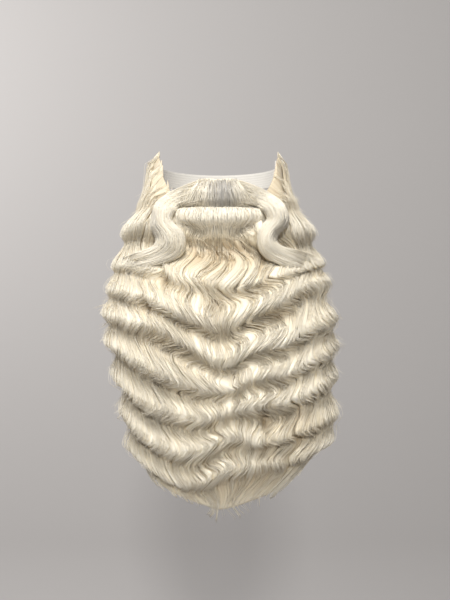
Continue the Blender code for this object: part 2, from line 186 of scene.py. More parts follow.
# Way of each moustache half, from the parting over the lip and down beside the chin
RIGHT_EDGES = (
    Edge(-2, 62, -2, 30.5, 12), Edge(14, 64, 12, 30.5, 12), Edge(31, 61, 24, 30.5, 13),
    Edge(45, 57, 34, 31, 15), Edge(58, 52.5, 42, 31, 16), Edge(69, 44, 48, 28, 16),
    Edge(77, 32, 52, 23, 16), Edge(79.5, 20, 52.5, 17.5, 16), Edge(76, 11, 48.5, 12, 16),
    Edge(68, 4, 44, 4, 16), Edge(65, -4, 42, -6, 16), Edge(70, -10, 44.5, -16, 15),
    Edge(81, -12.5, 52, -25, 12), Edge(93, -14, 65, -32, 9), Edge(105, -17, 80, -37, 6),
    Edge(117, -21, 97, -41, 3),
)
LEFT_EDGES = (
    Edge(-2, 62, -2, 30.5, 12), Edge(14, 64, 12, 30.5, 12), Edge(30, 60, 23, 30.5, 13),
    Edge(45, 55.5, 33, 31, 15), Edge(58, 51, 40, 31, 16), Edge(67, 43, 45.5, 28, 16),
    Edge(72, 33, 49, 22.5, 16), Edge(74.5, 22, 49.5, 16, 16), Edge(75, 12, 45, 11, 16),
    Edge(72, 4, 38.5, 5, 16), Edge(69, -3, 35, -4, 16), Edge(72, -10, 35.5, -14, 15),
    Edge(82, -14, 41.5, -23.5, 12), Edge(95, -17, 56, -30.5, 9), Edge(108, -20, 76, -35, 6),
    Edge(120, -24, 97, -39, 3),
)
# Layers that lie deeper are given a lower brightness, as painted shade under the layers above
LOCKS = (
    Locks("beard_lower_locks", 166, 3.2, 6.0, 1.0, 0.43),
    Locks("beard_upper_locks", 164, 2.6, 4.4, 2.0, 0.49),
)
STRANDS = (
    Strands("beard_strands", 192, 5, 3.0, 2.6, 0.54, 0.42, 0.6),
    Strands("beard_top_strands", 170, 5, 2.4, 3.8, 0.58, 0.36, 1.0),
    Strands("beard_flyaways", 120, 2, 2.2, 5.0, 0.62, 0.24, 2.6),
    Strands("beard_tab_strands", 66, 5, 2.0, 3.0, 0.60, 0.42, 0.8, True),
)
WISPS = Strands("beard_edge_wisps", 135, 4, 0.7, 1.5, 0.62, 0.30)
BACK_STRANDS = Strands("beard_back_strands", 90, 5, 3.0, 0.6, 0.46, 0.48)
RIM_STRANDS = Strands("beard_rim_strands", 50, 5, 2.6, 0.5, 0.50, 0.48)
# Shares of a wave at which its valley lies and at which the swing turns back
VALLEY = 0.42
RETURN = 0.48
# Corner angles of a strand's three-sided section, and its height over its width
CORNERS = np.radians([90.0, 210.0, 330.0])
FLATNESS = 0.7
# Millimetres of hair to a wave, for the streaks
WAVE_RUN = 30.0
LAMPS = (
    Lamp("key_above", (-0.18, -1.15, 1.8), (0.0, -0.05, -0.10), 0.7, 46.0, (1.0, 0.98, 0.94)),
    Lamp("front_key", (0.05, -3.0, 1.15), (0.0, 0.0, -0.10), 0.35, 46.0, (1.0, 0.99, 0.96)),
    Lamp("wall_light", (-1.5, 0.5, 0.9), (-0.9, 1.75, 0.1), 1.0, 19.0, (1.0, 0.985, 0.975)),
)


def smooth(x: Array) -> Array:
    """Smooth step: 3x^2 - 2x^3 of x held between 0 and 1."""
    x = np.clip(x, 0.0, 1.0)
    return x * x * (3 - 2 * x)


def through(at: Array, stations: tuple[float, ...], values: tuple[float, ...]) -> Array:
    """Smooth curve through values at stations, in cubic pieces with mean slopes.

    Args:
        at: Places to read the curve at; outside the stations it stays at the end value.
        stations: Rising places of the values.
        values: The curve's values there.

    Returns:
        The curve's values at every place.
    """
    x = np.asarray(stations, float)
    y = np.asarray(values, float)
    slopes = np.gradient(y, x)
    at = np.clip(at, x[0], x[-1])
    i = np.clip(np.searchsorted(x, at) - 1, 0, len(x) - 2)
    span = x[i + 1] - x[i]
    t = (at - x[i]) / span
    rise = smooth(t)
    bend = span * t * (1 - t) * ((1 - t) * slopes[i] - t * slopes[i + 1])
    return y[i] * (1 - rise) + y[i + 1] * rise + bend


def unit(vectors: Array) -> Array:
    """Vectors scaled to length 1."""
    return vectors / np.maximum(np.linalg.norm(vectors, axis=-1, keepdims=True), 1e-9)


def warped(part: Array, middle: float) -> Array:
    """Share of a wave whose half lies at middle: straight from 0 to 0.5 there, and on to 1."""
    return np.where(part < middle, part * 0.5 / middle, 0.5 + (part - middle) * 0.5 / (1 - middle))


def faded(t: Array, head: float, tail: float) -> Array:
    """1 along a strand, eased to 0 over a share of it at its head and its tail."""
    return smooth(t / head) * smooth((1 - t) / tail)


def strand_radius(rng: np.random.Generator, radius: float, t: Array, count: int) -> Array:
    """Radii along seeded strands: radius * r * (0.35 + 0.65 sqrt(sin(pi t))), r from 0.6 to 1.25."""
    return radius * rng.uniform(0.6, 1.25, (count, 1)) * (0.35 + 0.65 * np.sin(np.pi * t) ** 0.5)


def shares(steps: int) -> Array:
    """Shares of a strand's way at its steps, as a row."""
    return np.linspace(0, 1, steps)[None, :]


def grouped(count: int, group: int, steps: int) -> tuple[Array, int, Array]:
    """Each strand's group number, how many strands there are, and the shares of their way."""
    return np.repeat(np.arange(count), group), count * group, shares(steps)


def held(values: Array, limit: float) -> Array:
    """Values kept between minus and plus a limit."""
    return np.clip(values, -limit, limit)


def at_turn(sine: Array, limit: float = 1.0) -> Array:
    """Angle of a sine that is held within a limit."""
    return np.arcsin(held(sine, limit))


def lengths(points: Array, axis: int) -> Array:
    """Length of the way to each point of a grid along one of its axes."""
    first = np.take(points, [0], axis=axis)
    return np.cumsum(np.linalg.norm(np.diff(points, axis=axis, prepend=first), axis=-1), axis=axis)


@dataclass(frozen=True)
class Drift:
    """Seeded slow variation over a plane: a mean of sines in random directions."""

    seed: int
    size: float
    waves: int = 6

    def at(self, u: Array, v: Array) -> Array:
        """Sum of sin(k . (u, v) / size + phase) / sqrt(waves) over the sines.

        Args:
            u: Places along the first direction.
            v: Places along the second one.

        Returns:
            The variation, between about -1 and 1.
        """
        rng = np.random.default_rng(self.seed)
        angle = rng.uniform(0, 2 * np.pi, self.waves)
        pace = rng.uniform(0.6, 1.6, self.waves) / self.size
        start = rng.uniform(0, 2 * np.pi, self.waves)
        total = 0.0
        for a, k, s in zip(angle, pace, start):
            total = total + np.sin(k * (np.cos(a) * u + np.sin(a) * v) + s)
        return total / np.sqrt(self.waves)


def grid_quads(across: int, down: int, first: int = 0) -> Array:
    """Quads of a grid of (across + 1) by (down + 1) points, stored column by column.

    Args:
        across: Cells across.
        down: Cells down.
        first: Number of the grid's first point.

    Returns:
        Array of shape (cells, 4).
    """
    i, j = np.meshgrid(np.arange(across), np.arange(down), indexing="ij")
    corner = first + i * (down + 1) + j
    return np.stack([corner, corner + 1, corner + down + 2, corner + down + 1], axis=-1).reshape(-1, 4)


def make_mesh(name: str, points: Array, quads: Array, tris: Array | None = None) -> bpy.types.Object:
    """Object at the origin from points in millimetres and faces, shaded smooth.

    Args:
        name: The piece's name.
        points: Array of shape (n, 3).
        quads: Four-cornered faces.
        tris: Three-cornered faces, if any.

    Returns:
        The new object, linked to the scene.
    """
    tris = np.zeros((0, 3), int) if tris is None else tris
    corners = np.concatenate([quads.reshape(-1), tris.reshape(-1)]).astype(np.int32)
    sizes = np.concatenate([np.full(len(quads), 4), np.full(len(tris), 3)])
    starts = np.concatenate([[0], np.cumsum(sizes)[:-1]]).astype(np.int32)
    mesh = bpy.data.meshes.new(name)
    mesh.vertices.add(len(points))
    mesh.vertices.foreach_set("co", (points * MM).astype(np.float32).ravel())
    mesh.loops.add(len(corners))
    mesh.loops.foreach_set("vertex_index", corners)
    mesh.polygons.add(len(sizes))
    mesh.polygons.foreach_set("loop_start", starts)
    mesh.update(calc_edges=True)
    mesh.shade_smooth()
    piece = bpy.data.objects.new(name, mesh)
    bpy.context.scene.collection.objects.link(piece)
    return piece


def set_mask(piece: bpy.types.Object, name: str, values: Array) -> None:
    """Stores one number or one vector a point as an attribute that a material reads.

    Args:
        piece: The mesh object.
        name: The attribute's name.
        values: One row a point.
    """
    kind, key = ("FLOAT", "value") if values.ndim == 1 else ("FLOAT_VECTOR", "vector")
    mask = piece.data.attributes.new(name, kind, "POINT")
    mask.data.foreach_set(key, values.astype(np.float32).ravel())


def set_uv(piece: bpy.types.Object, uv: Array) -> None:
    """Stores a place on the cloth in millimetres for each point, as the piece's UV map.

    Args:
        piece: The mesh object.
        uv: Array of shape (points, 2).
    """
    layer = piece.data.uv_layers.new(name="UVMap")
    corners = np.empty(len(piece.data.loops), np.int32)
    piece.data.loops.foreach_get("vertex_index", corners)
    layer.data.foreach_set("uv", uv[corners].astype(np.float32).ravel())


def settle(piece: bpy.types.Object, slot: str, material: bpy.types.Material, *nodes: str) -> None:
    """Gives a piece its finish, its body, and the nodes that it stands for.

    Args:
        piece: The mesh object.
        slot: Material slot of the record; not used.
        material: Its finish.
        nodes: The solids that it takes the place of, if any.
    """
    piece.data.materials.append(material)
    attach(piece, "root")
    if nodes:
        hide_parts(*nodes)
    piece.data.calc_loop_triangles()
    LOG.info("%s: %d triangles", piece.name, len(piece.data.loop_triangles))


def shell_quads(across: int, down: int) -> Array:
    """Outward quads of a closed body between two grids of the same size, joined along their rims.

    Args:
        across: Cells left to right, seen from outside.
        down: Cells top to bottom.

    Returns:
        Quads on the points of the outer grid followed by those of the inner one.
    """
    count = (across + 1) * (down + 1)
    front = grid_quads(across, down)
    back = grid_quads(across, down, count)[:, ::-1]
    index = np.arange(count).reshape(across + 1, down + 1)
    rim = np.concatenate([index[:, 0], index[-1, 1:], index[-2::-1, -1], index[0, -2:0:-1]])
    ahead = np.roll(rim, -1)
    return np.concatenate([front, back, np.stack([rim, ahead, ahead + count, rim + count], axis=1)])


@dataclass
class Sheaf:
    """Hair gathered into one mesh: round strands and flat locks, every one of them closed.

    Its points carry three masks: tone, which is brightness with painted highlight on the crests and
    painted shade in the valleys, the hollows and the deeper layers as well as random spread; grey; and
    flow, which is the place across and along the hair in millimetres and the lock's own number.
    """

    name: str
    points: list[Array] = field(default_factory=list)
    quads: list[Array] = field(default_factory=list)
    tris: list[Array] = field(default_factory=lambda: [np.zeros((0, 3), int)])
    tones_and_painted_light: list[Array] = field(default_factory=list)
    greys: list[Array] = field(default_factory=list)
    flows: list[Array] = field(default_factory=list)
    count: int = 0

    def strands(self, path: Array, radius: Array, outward: Array, tone: Array,
                grey: Array | float = 0.0) -> "Sheaf":
        """Adds three-sided tubes that end in a point.

        A ring's corner is path + radius * (cos(a) side + FLATNESS sin(a) out), a from CORNERS.

        Args:
            path: Array of shape (strands, steps, 3).
            radius: Array of shape (strands, steps).
            outward: Directions away from the mass under the strand, like path.
            tone: Brightness mask, like radius.
            grey: Greyness mask, like radius or one number.

        Returns:
            The sheaf itself.
        """
        strands, steps = path.shape[:2]
        along = unit(np.gradient(path, axis=1))
        side = unit(np.cross(along, outward))
        out = np.cross(side, along)
        across = np.cos(CORNERS)[:, None] * side[:, 1:-1, None, :]
        rise = FLATNESS * np.sin(CORNERS)[:, None] * out[:, 1:-1, None, :]
        ring = path[:, 1:-1, None, :] + radius[:, 1:-1, None, None] * (across + rise)
        rings = steps - 2
        body = rings * 3
        points = np.concatenate([ring.reshape(strands, body, 3), path[:, :1], path[:, -1:]], axis=1)
        k, c = np.meshgrid(np.arange(rings - 1), np.arange(3), indexing="ij")
        near, far = 3 * k + c, 3 * k + (c + 1) % 3
        quads = np.stack([near, near + 3, far + 3, far], axis=-1).reshape(-1, 4)
        c = np.arange(3)
        last = body - 3
        tris = np.concatenate([
            np.stack([np.full(3, body), c, (c + 1) % 3], axis=1),
            np.stack([np.full(3, body + 1), last + (c + 1) % 3, last + c], axis=1),
        ])
        length = lengths(path, 1)
        number = np.arange(strands)[:, None] * 0.37 + 0 * length
        flow = np.stack([number, length, number], axis=-1)
        self.tris.append((tris[None] + self.first(strands, body + 2)).reshape(-1, 3))
        self.keep(points, quads, [
            np.concatenate([np.repeat(m[:, 1:-1], 3, axis=1), m[:, :1], m[:, -1:]], axis=1)
            for m in (tone, grey + 0 * tone, flow)])
        return self

    def locks(self, front: Array, back: Array, tone: Array, flow: Array) -> "Sheaf":
        """Adds flat locks, each a closed shell between two grids.

        Args:
            front: Array of shape (locks, across, steps, 3).
            back: Grids of the same shape behind them.
            tone: Brightness mask of shape (locks, across, steps).
            flow: Places across and along the hair and the lock's number, like front.

        Returns:
            The sheaf itself.
        """
        locks, across, steps = front.shape[:3]
        points = np.stack([front, back], axis=1).reshape(locks, -1, 3)
        both = [np.stack([m, m], axis=1).reshape((locks, -1) + m.shape[3:]) for m in (tone, 0 * tone, flow)]
        self.keep(points, shell_quads(across - 1, steps - 1), both)
        return self

    def first(self, bodies: int, size: int) -> Array:
        """Number of each new body's first point."""
        return self.count + np.arange(bodies)[:, None, None] * size

    def keep(self, points: Array, quads: Array, masks: list[Array]) -> None:
        """Keeps bodies of one build.

        Args:
            points: Array of shape (bodies, points, 3).
            quads: One body's quads.
            masks: The masks tone, grey and flow.
        """
        bodies, size = points.shape[:2]
        self.quads.append((quads[None] + self.first(bodies, size)).reshape(-1, 4))
        self.points.append(points.reshape(-1, 3))
        for store, mask in zip((self.tones_and_painted_light, self.greys), masks):
            store.append(mask.reshape(-1))
        self.flows.append(masks[2].reshape(-1, 3))
        self.count += bodies * size

    def build(self, slot: str, material: bpy.types.Material, *nodes: str) -> None:
        """Makes the mesh of all that was added and settles it.

        Args:
            slot: Material slot of the record.
            material: Its finish.
            nodes: The solids that it takes the place of, if any.
        """
        piece = make_mesh(self.name, np.concatenate(self.points), np.concatenate(self.quads),
                          np.concatenate(self.tris))
        set_mask(piece, "tone", np.clip(np.concatenate(self.tones_and_painted_light), 0, 1))
        set_mask(piece, "grey", np.clip(np.concatenate(self.greys), 0, 1))
        set_mask(piece, "flow", np.concatenate(self.flows))
        settle(piece, slot, material, *nodes)


@dataclass
class Wiring:
    """One node tree, to which nodes are added with their settings and what feeds them."""

    tree: bpy.types.NodeTree

    def add(self, kind: str, inputs: dict[str | int, object] | None = None,
            **settings: object) -> bpy.types.Node:
        """Adds a shader node.

        Args:
            kind: Its type without the leading ShaderNode.
            inputs: For each input by name or place, a socket to link from or a value.
            settings: The node's own properties, set before its inputs.

        Returns:
            The node.
        """
        node = self.tree.nodes.new("ShaderNode" + kind)
        for name, value in settings.items():
            setattr(node, name, value)
        self.feed(node, inputs or {})
        return node

    def feed(self, node: bpy.types.Node, inputs: dict[str | int, object]) -> None:
        """Links or sets a node's inputs.

        Args:
            node: The node.
            inputs: For each input by name or place, a socket or a value.
        """
        for name, value in inputs.items():
            if isinstance(value, bpy.types.NodeSocket):
                self.tree.links.new(value, node.inputs[name])
            else:
                node.inputs[name].default_value = value

    def blend(self, share: bpy.types.NodeSocket, low: object, high: object) -> bpy.types.NodeSocket:
        """Colour between two colours or colour sockets, by a share."""
        inputs = {"Factor": share, "A": low, "B": high}
        return self.add("Mix", inputs, data_type="RGBA").outputs["Result"]

    def bump(self, height: bpy.types.NodeSocket, strength: float, distance: float) -> bpy.types.NodeSocket:
        """Normal of a height map, its distance in millimetres."""
        inputs = {"Height": height, "Strength": strength, "Distance": distance * MM}
        return self.add("Bump", inputs).outputs["Normal"]


def new_material(name: str) -> tuple[bpy.types.Material, Wiring, bpy.types.Node]:
    """A material with its wiring and its Principled shader.

    Args:
        name: Its name.

    Returns:
        The material, the wiring of its tree and its Principled node.
    """
    material = bpy.data.materials.new(name)
    material.use_nodes = True
    wiring = Wiring(material.node_tree)
    return material, wiring, material.node_tree.nodes["Principled BSDF"]


def opaque(colour: Triple) -> tuple[float, float, float, float]:
    """A colour with full alpha."""
    return (*colour, 1)


def streak_group() -> bpy.types.NodeTree:
    """Node group of fine and broad streaks along the hair, from the attribute flow, made once.

    Returns:
        The group, with the outputs Fine and Broad.
    """
    name = "hair_streaks"
    if name in bpy.data.node_groups:
        return bpy.data.node_groups[name]
    tree = bpy.data.node_groups.new(name, "ShaderNodeTree")
    for socket in ("Fine", "Broad"):
        tree.interface.new_socket(name=socket, in_out="OUTPUT", socket_type="NodeSocketFloat")
    wiring = Wiring(tree)
    flow = wiring.add("Attribute", attribute_name="flow").outputs["Vector"]
    out = tree.nodes.new("NodeGroupOutput")
    for socket, across, along in (("Fine", 1.3, 0.04), ("Broad", 0.42, 0.02)):
        stretch = {0: flow, 1: (across, along, 7.3)}
        place = wiring.add("VectorMath", stretch, operation="MULTIPLY").outputs["Vector"]
        noise = wiring.add("TexNoise", {"Vector": place, "Scale": 1.0, "Detail": 3.0, "Roughness": 0.6})
        wiring.feed(out, {socket: noise.outputs["Fac"]})
    return tree


@dataclass(frozen=True)
class HairFinish:
    """Cream hair with a silky gloss, its colour running from tan, painted shade where it lies deep, to near
    white, painted highlight on the crests.
    """

    name: str
    # deep is the tan painted as shade in the valleys and under the locks, bright the near white painted as
    # highlight on the crests
    deep: Triple = (0.50, 0.39, 0.25)
    middle: Triple = (0.82, 0.73, 0.56)
    bright: Triple = (0.94, 0.88, 0.75)
    grey: Triple = (0.42, 0.40, 0.38)
    roughness: float = 0.42
    streak: float = 0.48
    relief: float = 0.42
    glow: float = 0.12

    def material(self) -> bpy.types.Material:
        """Principled material that reads the masks tone, grey and flow.

        The place on the ramp from deep to bright is tone + streak * (fine + broad - 1).

        Returns:
            The material.
        """
        material, wiring, shader = new_material(self.name)
        tone, grey = (wiring.add("Attribute", attribute_name=n).outputs["Fac"] for n in ("tone", "grey"))
        streaks = wiring.add("Group", node_tree=streak_group()).outputs
        both = wiring.add("Math", {0: streaks["Fine"], 1: streaks["Broad"]}, operation="ADD").outputs[0]
        shift = wiring.add("Math", {0: tone, 1: self.streak}, operation="SUBTRACT").outputs[0]
        place = wiring.add("Math", {0: both, 1: self.streak, 2: shift}, operation="MULTIPLY_ADD").outputs[0]
        # The ramp paints shade and highlight into the colour, from deep at low brightness to bright at high
        # brightness
        ramp = wiring.add("ValToRGB", {"Fac": place})
        first, last = ramp.color_ramp.elements
        first.position, first.color = 0.05, opaque(self.deep)
        last.position, last.color = 0.9, opaque(self.bright)
        ramp.color_ramp.elements.new(0.45).color = opaque(self.middle)
        gloss = {"Value": streaks["Fine"], "To Min": self.roughness - 0.08, "To Max": self.roughness + 0.10}
        wiring.feed(shader, {
            "Base Color": wiring.blend(grey, ramp.outputs["Color"], opaque(self.grey)),
            "Normal": wiring.bump(both, 0.7, self.relief),
            "Roughness": wiring.add("MapRange", gloss).outputs["Result"],
            "Specular IOR Level": 0.5,
            "Subsurface Weight": self.glow,
            "Subsurface Radius": (1.0, 0.8, 0.55),
            "Subsurface Scale": 3 * MM,
        })
        return material


@dataclass(frozen=True)
class ClothFinish:
    """Woven or knotted cloth: threads in two directions of the piece's UV map, in millimetres."""

    name: str
    thread: Triple
    between: Triple
    pitch_u: float
    pitch_v: float
    slant: float
    height: float
    roughness: float = 0.85

    def material(self) -> bpy.types.Material:
        """Principled material with bands of threads, height = max of two sine bands.

        A wave texture has a band every 2 pi / (20 scale), and one unit of the UV map is a millimetre.

        Returns:
            The material.
        """
        material, wiring, shader = new_material(self.name)
        uv = wiring.add("UVMap", uv_map="UVMap").outputs["UV"]
        ways = ((self.pitch_u, self.slant), (self.pitch_v, np.pi / 2 - self.slant))
        bands = {}
        for i, (pitch, turn) in enumerate(ways):
            place = wiring.add("Mapping", {"Vector": uv, "Rotation": (0, 0, turn)}).outputs["Vector"]
            wave = {"Vector": place, "Scale": 2 * np.pi / (20 * pitch), "Distortion": 0.6, "Detail": 1.0}
            bands[i] = wiring.add("TexWave", wave).outputs["Fac"]
        high = wiring.add("Math", bands, operation="MAXIMUM").outputs[0]
        wiring.feed(shader, {
            "Base Color": wiring.blend(high, opaque(self.between), opaque(self.thread)),
            "Normal": wiring.bump(high, 0.6, self.height),
            "Roughness": self.roughness,
        })
        return material


@dataclass(frozen=True)
class StagePaint:
    """Matt paint of the floor and backdrop, a little uneven."""

    name: str
    colour: Triple

    def material(self) -> bpy.types.Material:
        """Principled material with a faint slow mottle.

        Returns:
            The material.
        """
        material, wiring, shader = new_material(self.name)
        place = wiring.add("TexCoord").outputs["Object"]
        mottle = wiring.add("TexNoise", {"Vector": place, "Scale": 1.2}).outputs["Fac"]
        low = [0.97 * c for c in self.colour]
        wiring.feed(shader, {"Base Color": wiring.blend(mottle, opaque(low), opaque(self.colour)),
                             "Roughness": 0.9})
        return material


def node_size(node: str) -> tuple[Array, Array]:
    """A solid's lowest and highest corners, in millimetres."""
    low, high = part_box(node)
    return np.array(low) / MM, np.array(high) / MM


@dataclass
class BeardForm:
    """The beard's outer form as a function of turn and phase, with the solids' own sizes."""

    drop: float
    face_half: float
    face_depth: float
    tab_top: float
    half_width: float = 130.0
    reach: float = 60.0
    body: float = 46.0
    wrap: float = np.radians(96)
    wave: float = 8.0
    droop: float = 1.0
    swing: float = 9.5
    drift: float = 5.0
    net_wall: float = 1.5
    rim: float = 9.0
    taper: float = 46.0
    full_wave: float = 30.0
    lag: float = 0.09
    uneven: Drift = Drift(3, 38.0)
    strong: Drift = Drift(5, 46.0)

    @classmethod
    def from_frame(cls) -> "BeardForm":
        """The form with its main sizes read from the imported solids.

        Returns:
            The form.
        """
        hair_low, _ = node_size("chin_hair")
        _, net_high = node_size("chin_base")
        return cls(-hair_low[2], net_high[0], net_high[1], net_high[2])

    def fall(self, name: str, z: Array) -> Array:
        """One column of the table of the smooth form, at a height."""
        return through(-z / self.drop, tuple(r.drop for r in FALL), tuple(getattr(r, name) for r in FALL))

    def jaw(self, z: Array) -> Array:
        """Half breadth of the net at a height."""
        return self.face_half * through(z / self.tab_top, JAW_AT, JAW_BREADTHS)

    def net(self, angle: Array, z: Array, out: Array | float) -> Array:
        """Point of the net's oval: (b sin t, D - d cos t, z), moved out by a length.

        Args:
            angle: Angle t round the oval.
            z: Height.
            out: Length outward.

        Returns:
            The points.
        """
        breadth = self.jaw(z) + out
        depth = self.face_depth + out
        return np.stack(np.broadcast_arrays(
            breadth * np.sin(angle), self.face_depth - depth * np.cos(angle), z), axis=-1)

    def face(self, turn: Array, z: Array, out: Array | float) -> Array:
        """Point of the beard's smooth oval: (c + w sin t, y - d cos t, z), moved out by a length.

        Args:
            turn: Angle t round the beard.
            z: Height.
            out: Length outward.

        Returns:
            The points.
        """
        wide = self.half_width * self.fall("width", z) + out
        widest = self.face_depth * self.fall("widest", z)
        deep = widest + self.reach * self.fall("front", z) + out
        middle = self.half_width * self.fall("shift", z)
        return np.stack(np.broadcast_arrays(
            middle + wide * np.sin(turn), widest - deep * np.cos(turn), z), axis=-1)

    def crest_lines(self, turn: Array) -> Array:
        """Heights of the crest lines at a turn, highest line first."""
        across = np.sin(held(turn, np.pi / 2))
        return np.stack([-self.drop * through(across, CREST_AT, line) for line in CRESTS])

    def step(self, turn: Array, phase: Array) -> tuple[Array, Array, Array]:
        """The wave at a phase and the crest lines over and under it.

        Args:
            turn: Angle round the beard.
            phase: Crests above the point.

        Returns:
            The wave's number and the two heights.
        """
        lines = self.crest_lines(turn)
        i = np.clip(np.floor(phase).astype(int), 0, len(CRESTS) - 2)
        upper, lower = (np.take_along_axis(lines, i[None] + k, axis=0)[0] for k in (0, 1))
        return i, upper, lower

    def height(self, turn: Array, phase: Array) -> Array:
        """Height at a phase: straight between the crest lines, and on past the last one."""
        i, upper, lower = self.step(turn, phase)
        return upper + (phase - i) * (lower - upper)

    def room(self, turn: Array, phase: Array) -> Array:
        """How far a wave can swell and swing: its length over full_wave, eased over half a wave each way.

        Args:
            turn: Angle round the beard.
            phase: Crests above the point.

        Returns:
            A share from 0 to about 1.3.
        """
        shifts = (-0.4, -0.2, 0.0, 0.2, 0.4)
        spread = 0.0
        for shift in shifts:
            _, upper, lower = self.step(turn, phase + shift)
            spread = spread + np.clip((upper - lower) / self.full_wave, 0.0, 1.5)
        spread = spread / len(shifts)
        return smooth(spread / 0.8) * np.clip(spread, 0.8, 1.3)

    def phase_of(self, turn: Array, z: Array) -> Array:
        """Phase at a height: the sum of the shares passed of each step between crest lines."""
        lines = self.crest_lines(turn)
        return np.clip((lines[:-1] - z) / (lines[:-1] - lines[1:]), 0, 1).sum(axis=0)

    def top_phase(self, turn: Array) -> Array:
        """Phase at which the hair starts on the net's upper edge."""
        top = -self.drop * through(np.abs(turn) / self.wrap, TOP_AT, TOPS)
        return self.phase_of(turn, top)

    def relief(self, phase: Array) -> Array:
        """A wave's relief: 1 on a crest, 0 in the valley, as a cosine warped to that place."""
        return 0.5 + 0.5 * np.cos(2 * np.pi * warped(phase % 1.0, VALLEY))

    def hollow_and_shade(self, x: Array, z: Array) -> tuple[Array, Array]:
        """Depth of the gaps and the shade painted into the hair's colour, at a place seen from the front:
        sums of Gaussians.

        Args:
            x: Place across.
            z: Height.

        Returns:
            The depth in millimetres and the painted shade.
        """
        depth, shade = 0.0, 0.0
        for gap in HOLLOWS_AND_SHADE:
            away = ((x - gap.across) / gap.half_across) ** 2 + ((z - gap.height) / gap.half_height) ** 2
            near = np.exp(-away)
            depth, shade = depth + gap.depth * near, shade + gap.shade * near
        return depth, shade

    def inner(self, turn: Array, z: Array) -> Array:
        """Inner face of the hair: on the net above the chin, hanging free below it.

        Args:
            turn: Angle round the beard.
            z: Height.

        Returns:
            The points.
        """
        low = -0.1 * self.tab_top
        on_net = self.net(turn * (np.pi / 2) / self.wrap, np.maximum(z, low), self.net_wall + 0.4)
        on_net[..., 2] = z
        hanging = self.face(turn, z, -self.body * self.fall("body", z))
        free = smooth(-(z - low) / (0.18 * self.drop))[..., None]
        return on_net * (1 - free) + hanging * free

    def edge(self, turn: Array, z: Array) -> Array:
        """Swelling from the rim of the hair, 0 on it, to the full thickness, 1.

        Args:
            turn: Angle round the beard.
            z: Height.

        Returns:
            The share of the thickness.
        """
        top = self.height(turn, self.top_phase(turn))
        upper = np.sqrt(smooth(0.03 + (top - z) / self.rim))
        low = self.crest_lines(turn)[-1]
        lower = 0.3 + 0.7 * smooth((z - low + 10) / self.taper)
        side = np.sqrt(smooth(0.03 + (self.wrap - np.abs(turn)) * self.half_width / self.rim))
        return upper * lower * side

    def skin(self, turn: Array, phase: Array, lift: Array | float,
             lag: Array | float = 0.0) -> tuple[Array, Array]:
        """Point of the waved outer surface and the relief there.

        Args:
            turn: Angle round the beard.
            phase: Crests above the point.
            lift: Length above the surface.
            lag: Shift of the waves, in phase.

        Returns:
            Points, and the relief from 0 to 1 less the shade of the hollows, which the hair's colour takes
            as painted highlight and painted shade.
        """
        turn, phase = np.broadcast_arrays(turn, phase)
        z = self.height(turn, phase)
        arc = turn * self.half_width
        crest = self.relief(phase + lag + self.lag * self.uneven.at(arc, z)) * smooth((phase - 1.0) / 0.6)
        gain = (1 + 0.25 * self.strong.at(arc, z)) * self.room(turn, phase)
        gap, shade = self.hollow_and_shade(self.face(turn, z, 0.0)[..., 0], z)
        outer = self.face(turn, z, self.wave * gain * (crest - 0.6) + lift - gap)
        edge = self.edge(turn, z)
        outer[..., 2] -= self.droop * crest * edge * smooth(phase - 0.5)
        inner = self.inner(turn, z)
        # Painted light for the hair's colour: higher on the crests as painted highlight, lower in the
        # valleys and the hollows as painted shade
        shown = 0.65 + (crest - 0.65) * np.minimum(gain, 1.0) - 2.5 * shade
        return inner + (outer - inner) * edge[..., None], shown

    def outward(self, turn: Array) -> Array:
        """Level direction out of the beard at a turn."""
        return np.stack([np.sin(turn), -np.cos(turn), 0 * turn], axis=-1)

    def swung(self, base: Array, phase: Array, gain: Array | float, first: Array | float = 6.0) -> Array:
        """Turn of a strand that swings with the waves.

        It moves inward down each bright band to the crest and back out through the valley:
        turn = base + side(base) * (drift (phase - first) - swing cos(2 pi w)) / half_width.

        Args:
            base: The strand's turn where it neither drifts nor swings.
            phase: Crests above the point.
            gain: Share of the full swing.
            first: Phase at which the strand is on its base.

        Returns:
            The turns.
        """
        arc = base * self.half_width
        part = warped((phase + self.lag * self.uneven.at(arc, WAVE_RUN * phase)) % 1.0, RETURN)
        middle = self.half_width * through(phase, tuple(range(len(LEANS))), LEANS)
        side = np.tanh((arc - middle) / 27.0)
        calm = 0.25 + 0.75 * smooth((phase - 1.8) / 0.8)
        share = np.abs(base) / self.wrap
        calm = calm * (1 - 0.45 * smooth((share - 0.5) / 0.35)) * self.room(base, phase)
        free = 1 - share ** 4
        move = self.drift * (phase - first) * free - self.swing * gain * calm * np.cos(2 * np.pi * part)
        return base + side * move / self.half_width


def beat_phases(start: Array, steps: int, beat: int) -> Array:
    """Phases of a strand's steps, beat of them to a wave, from its first step on."""
    return (start[:, None] + np.arange(steps)[None, :]) / beat


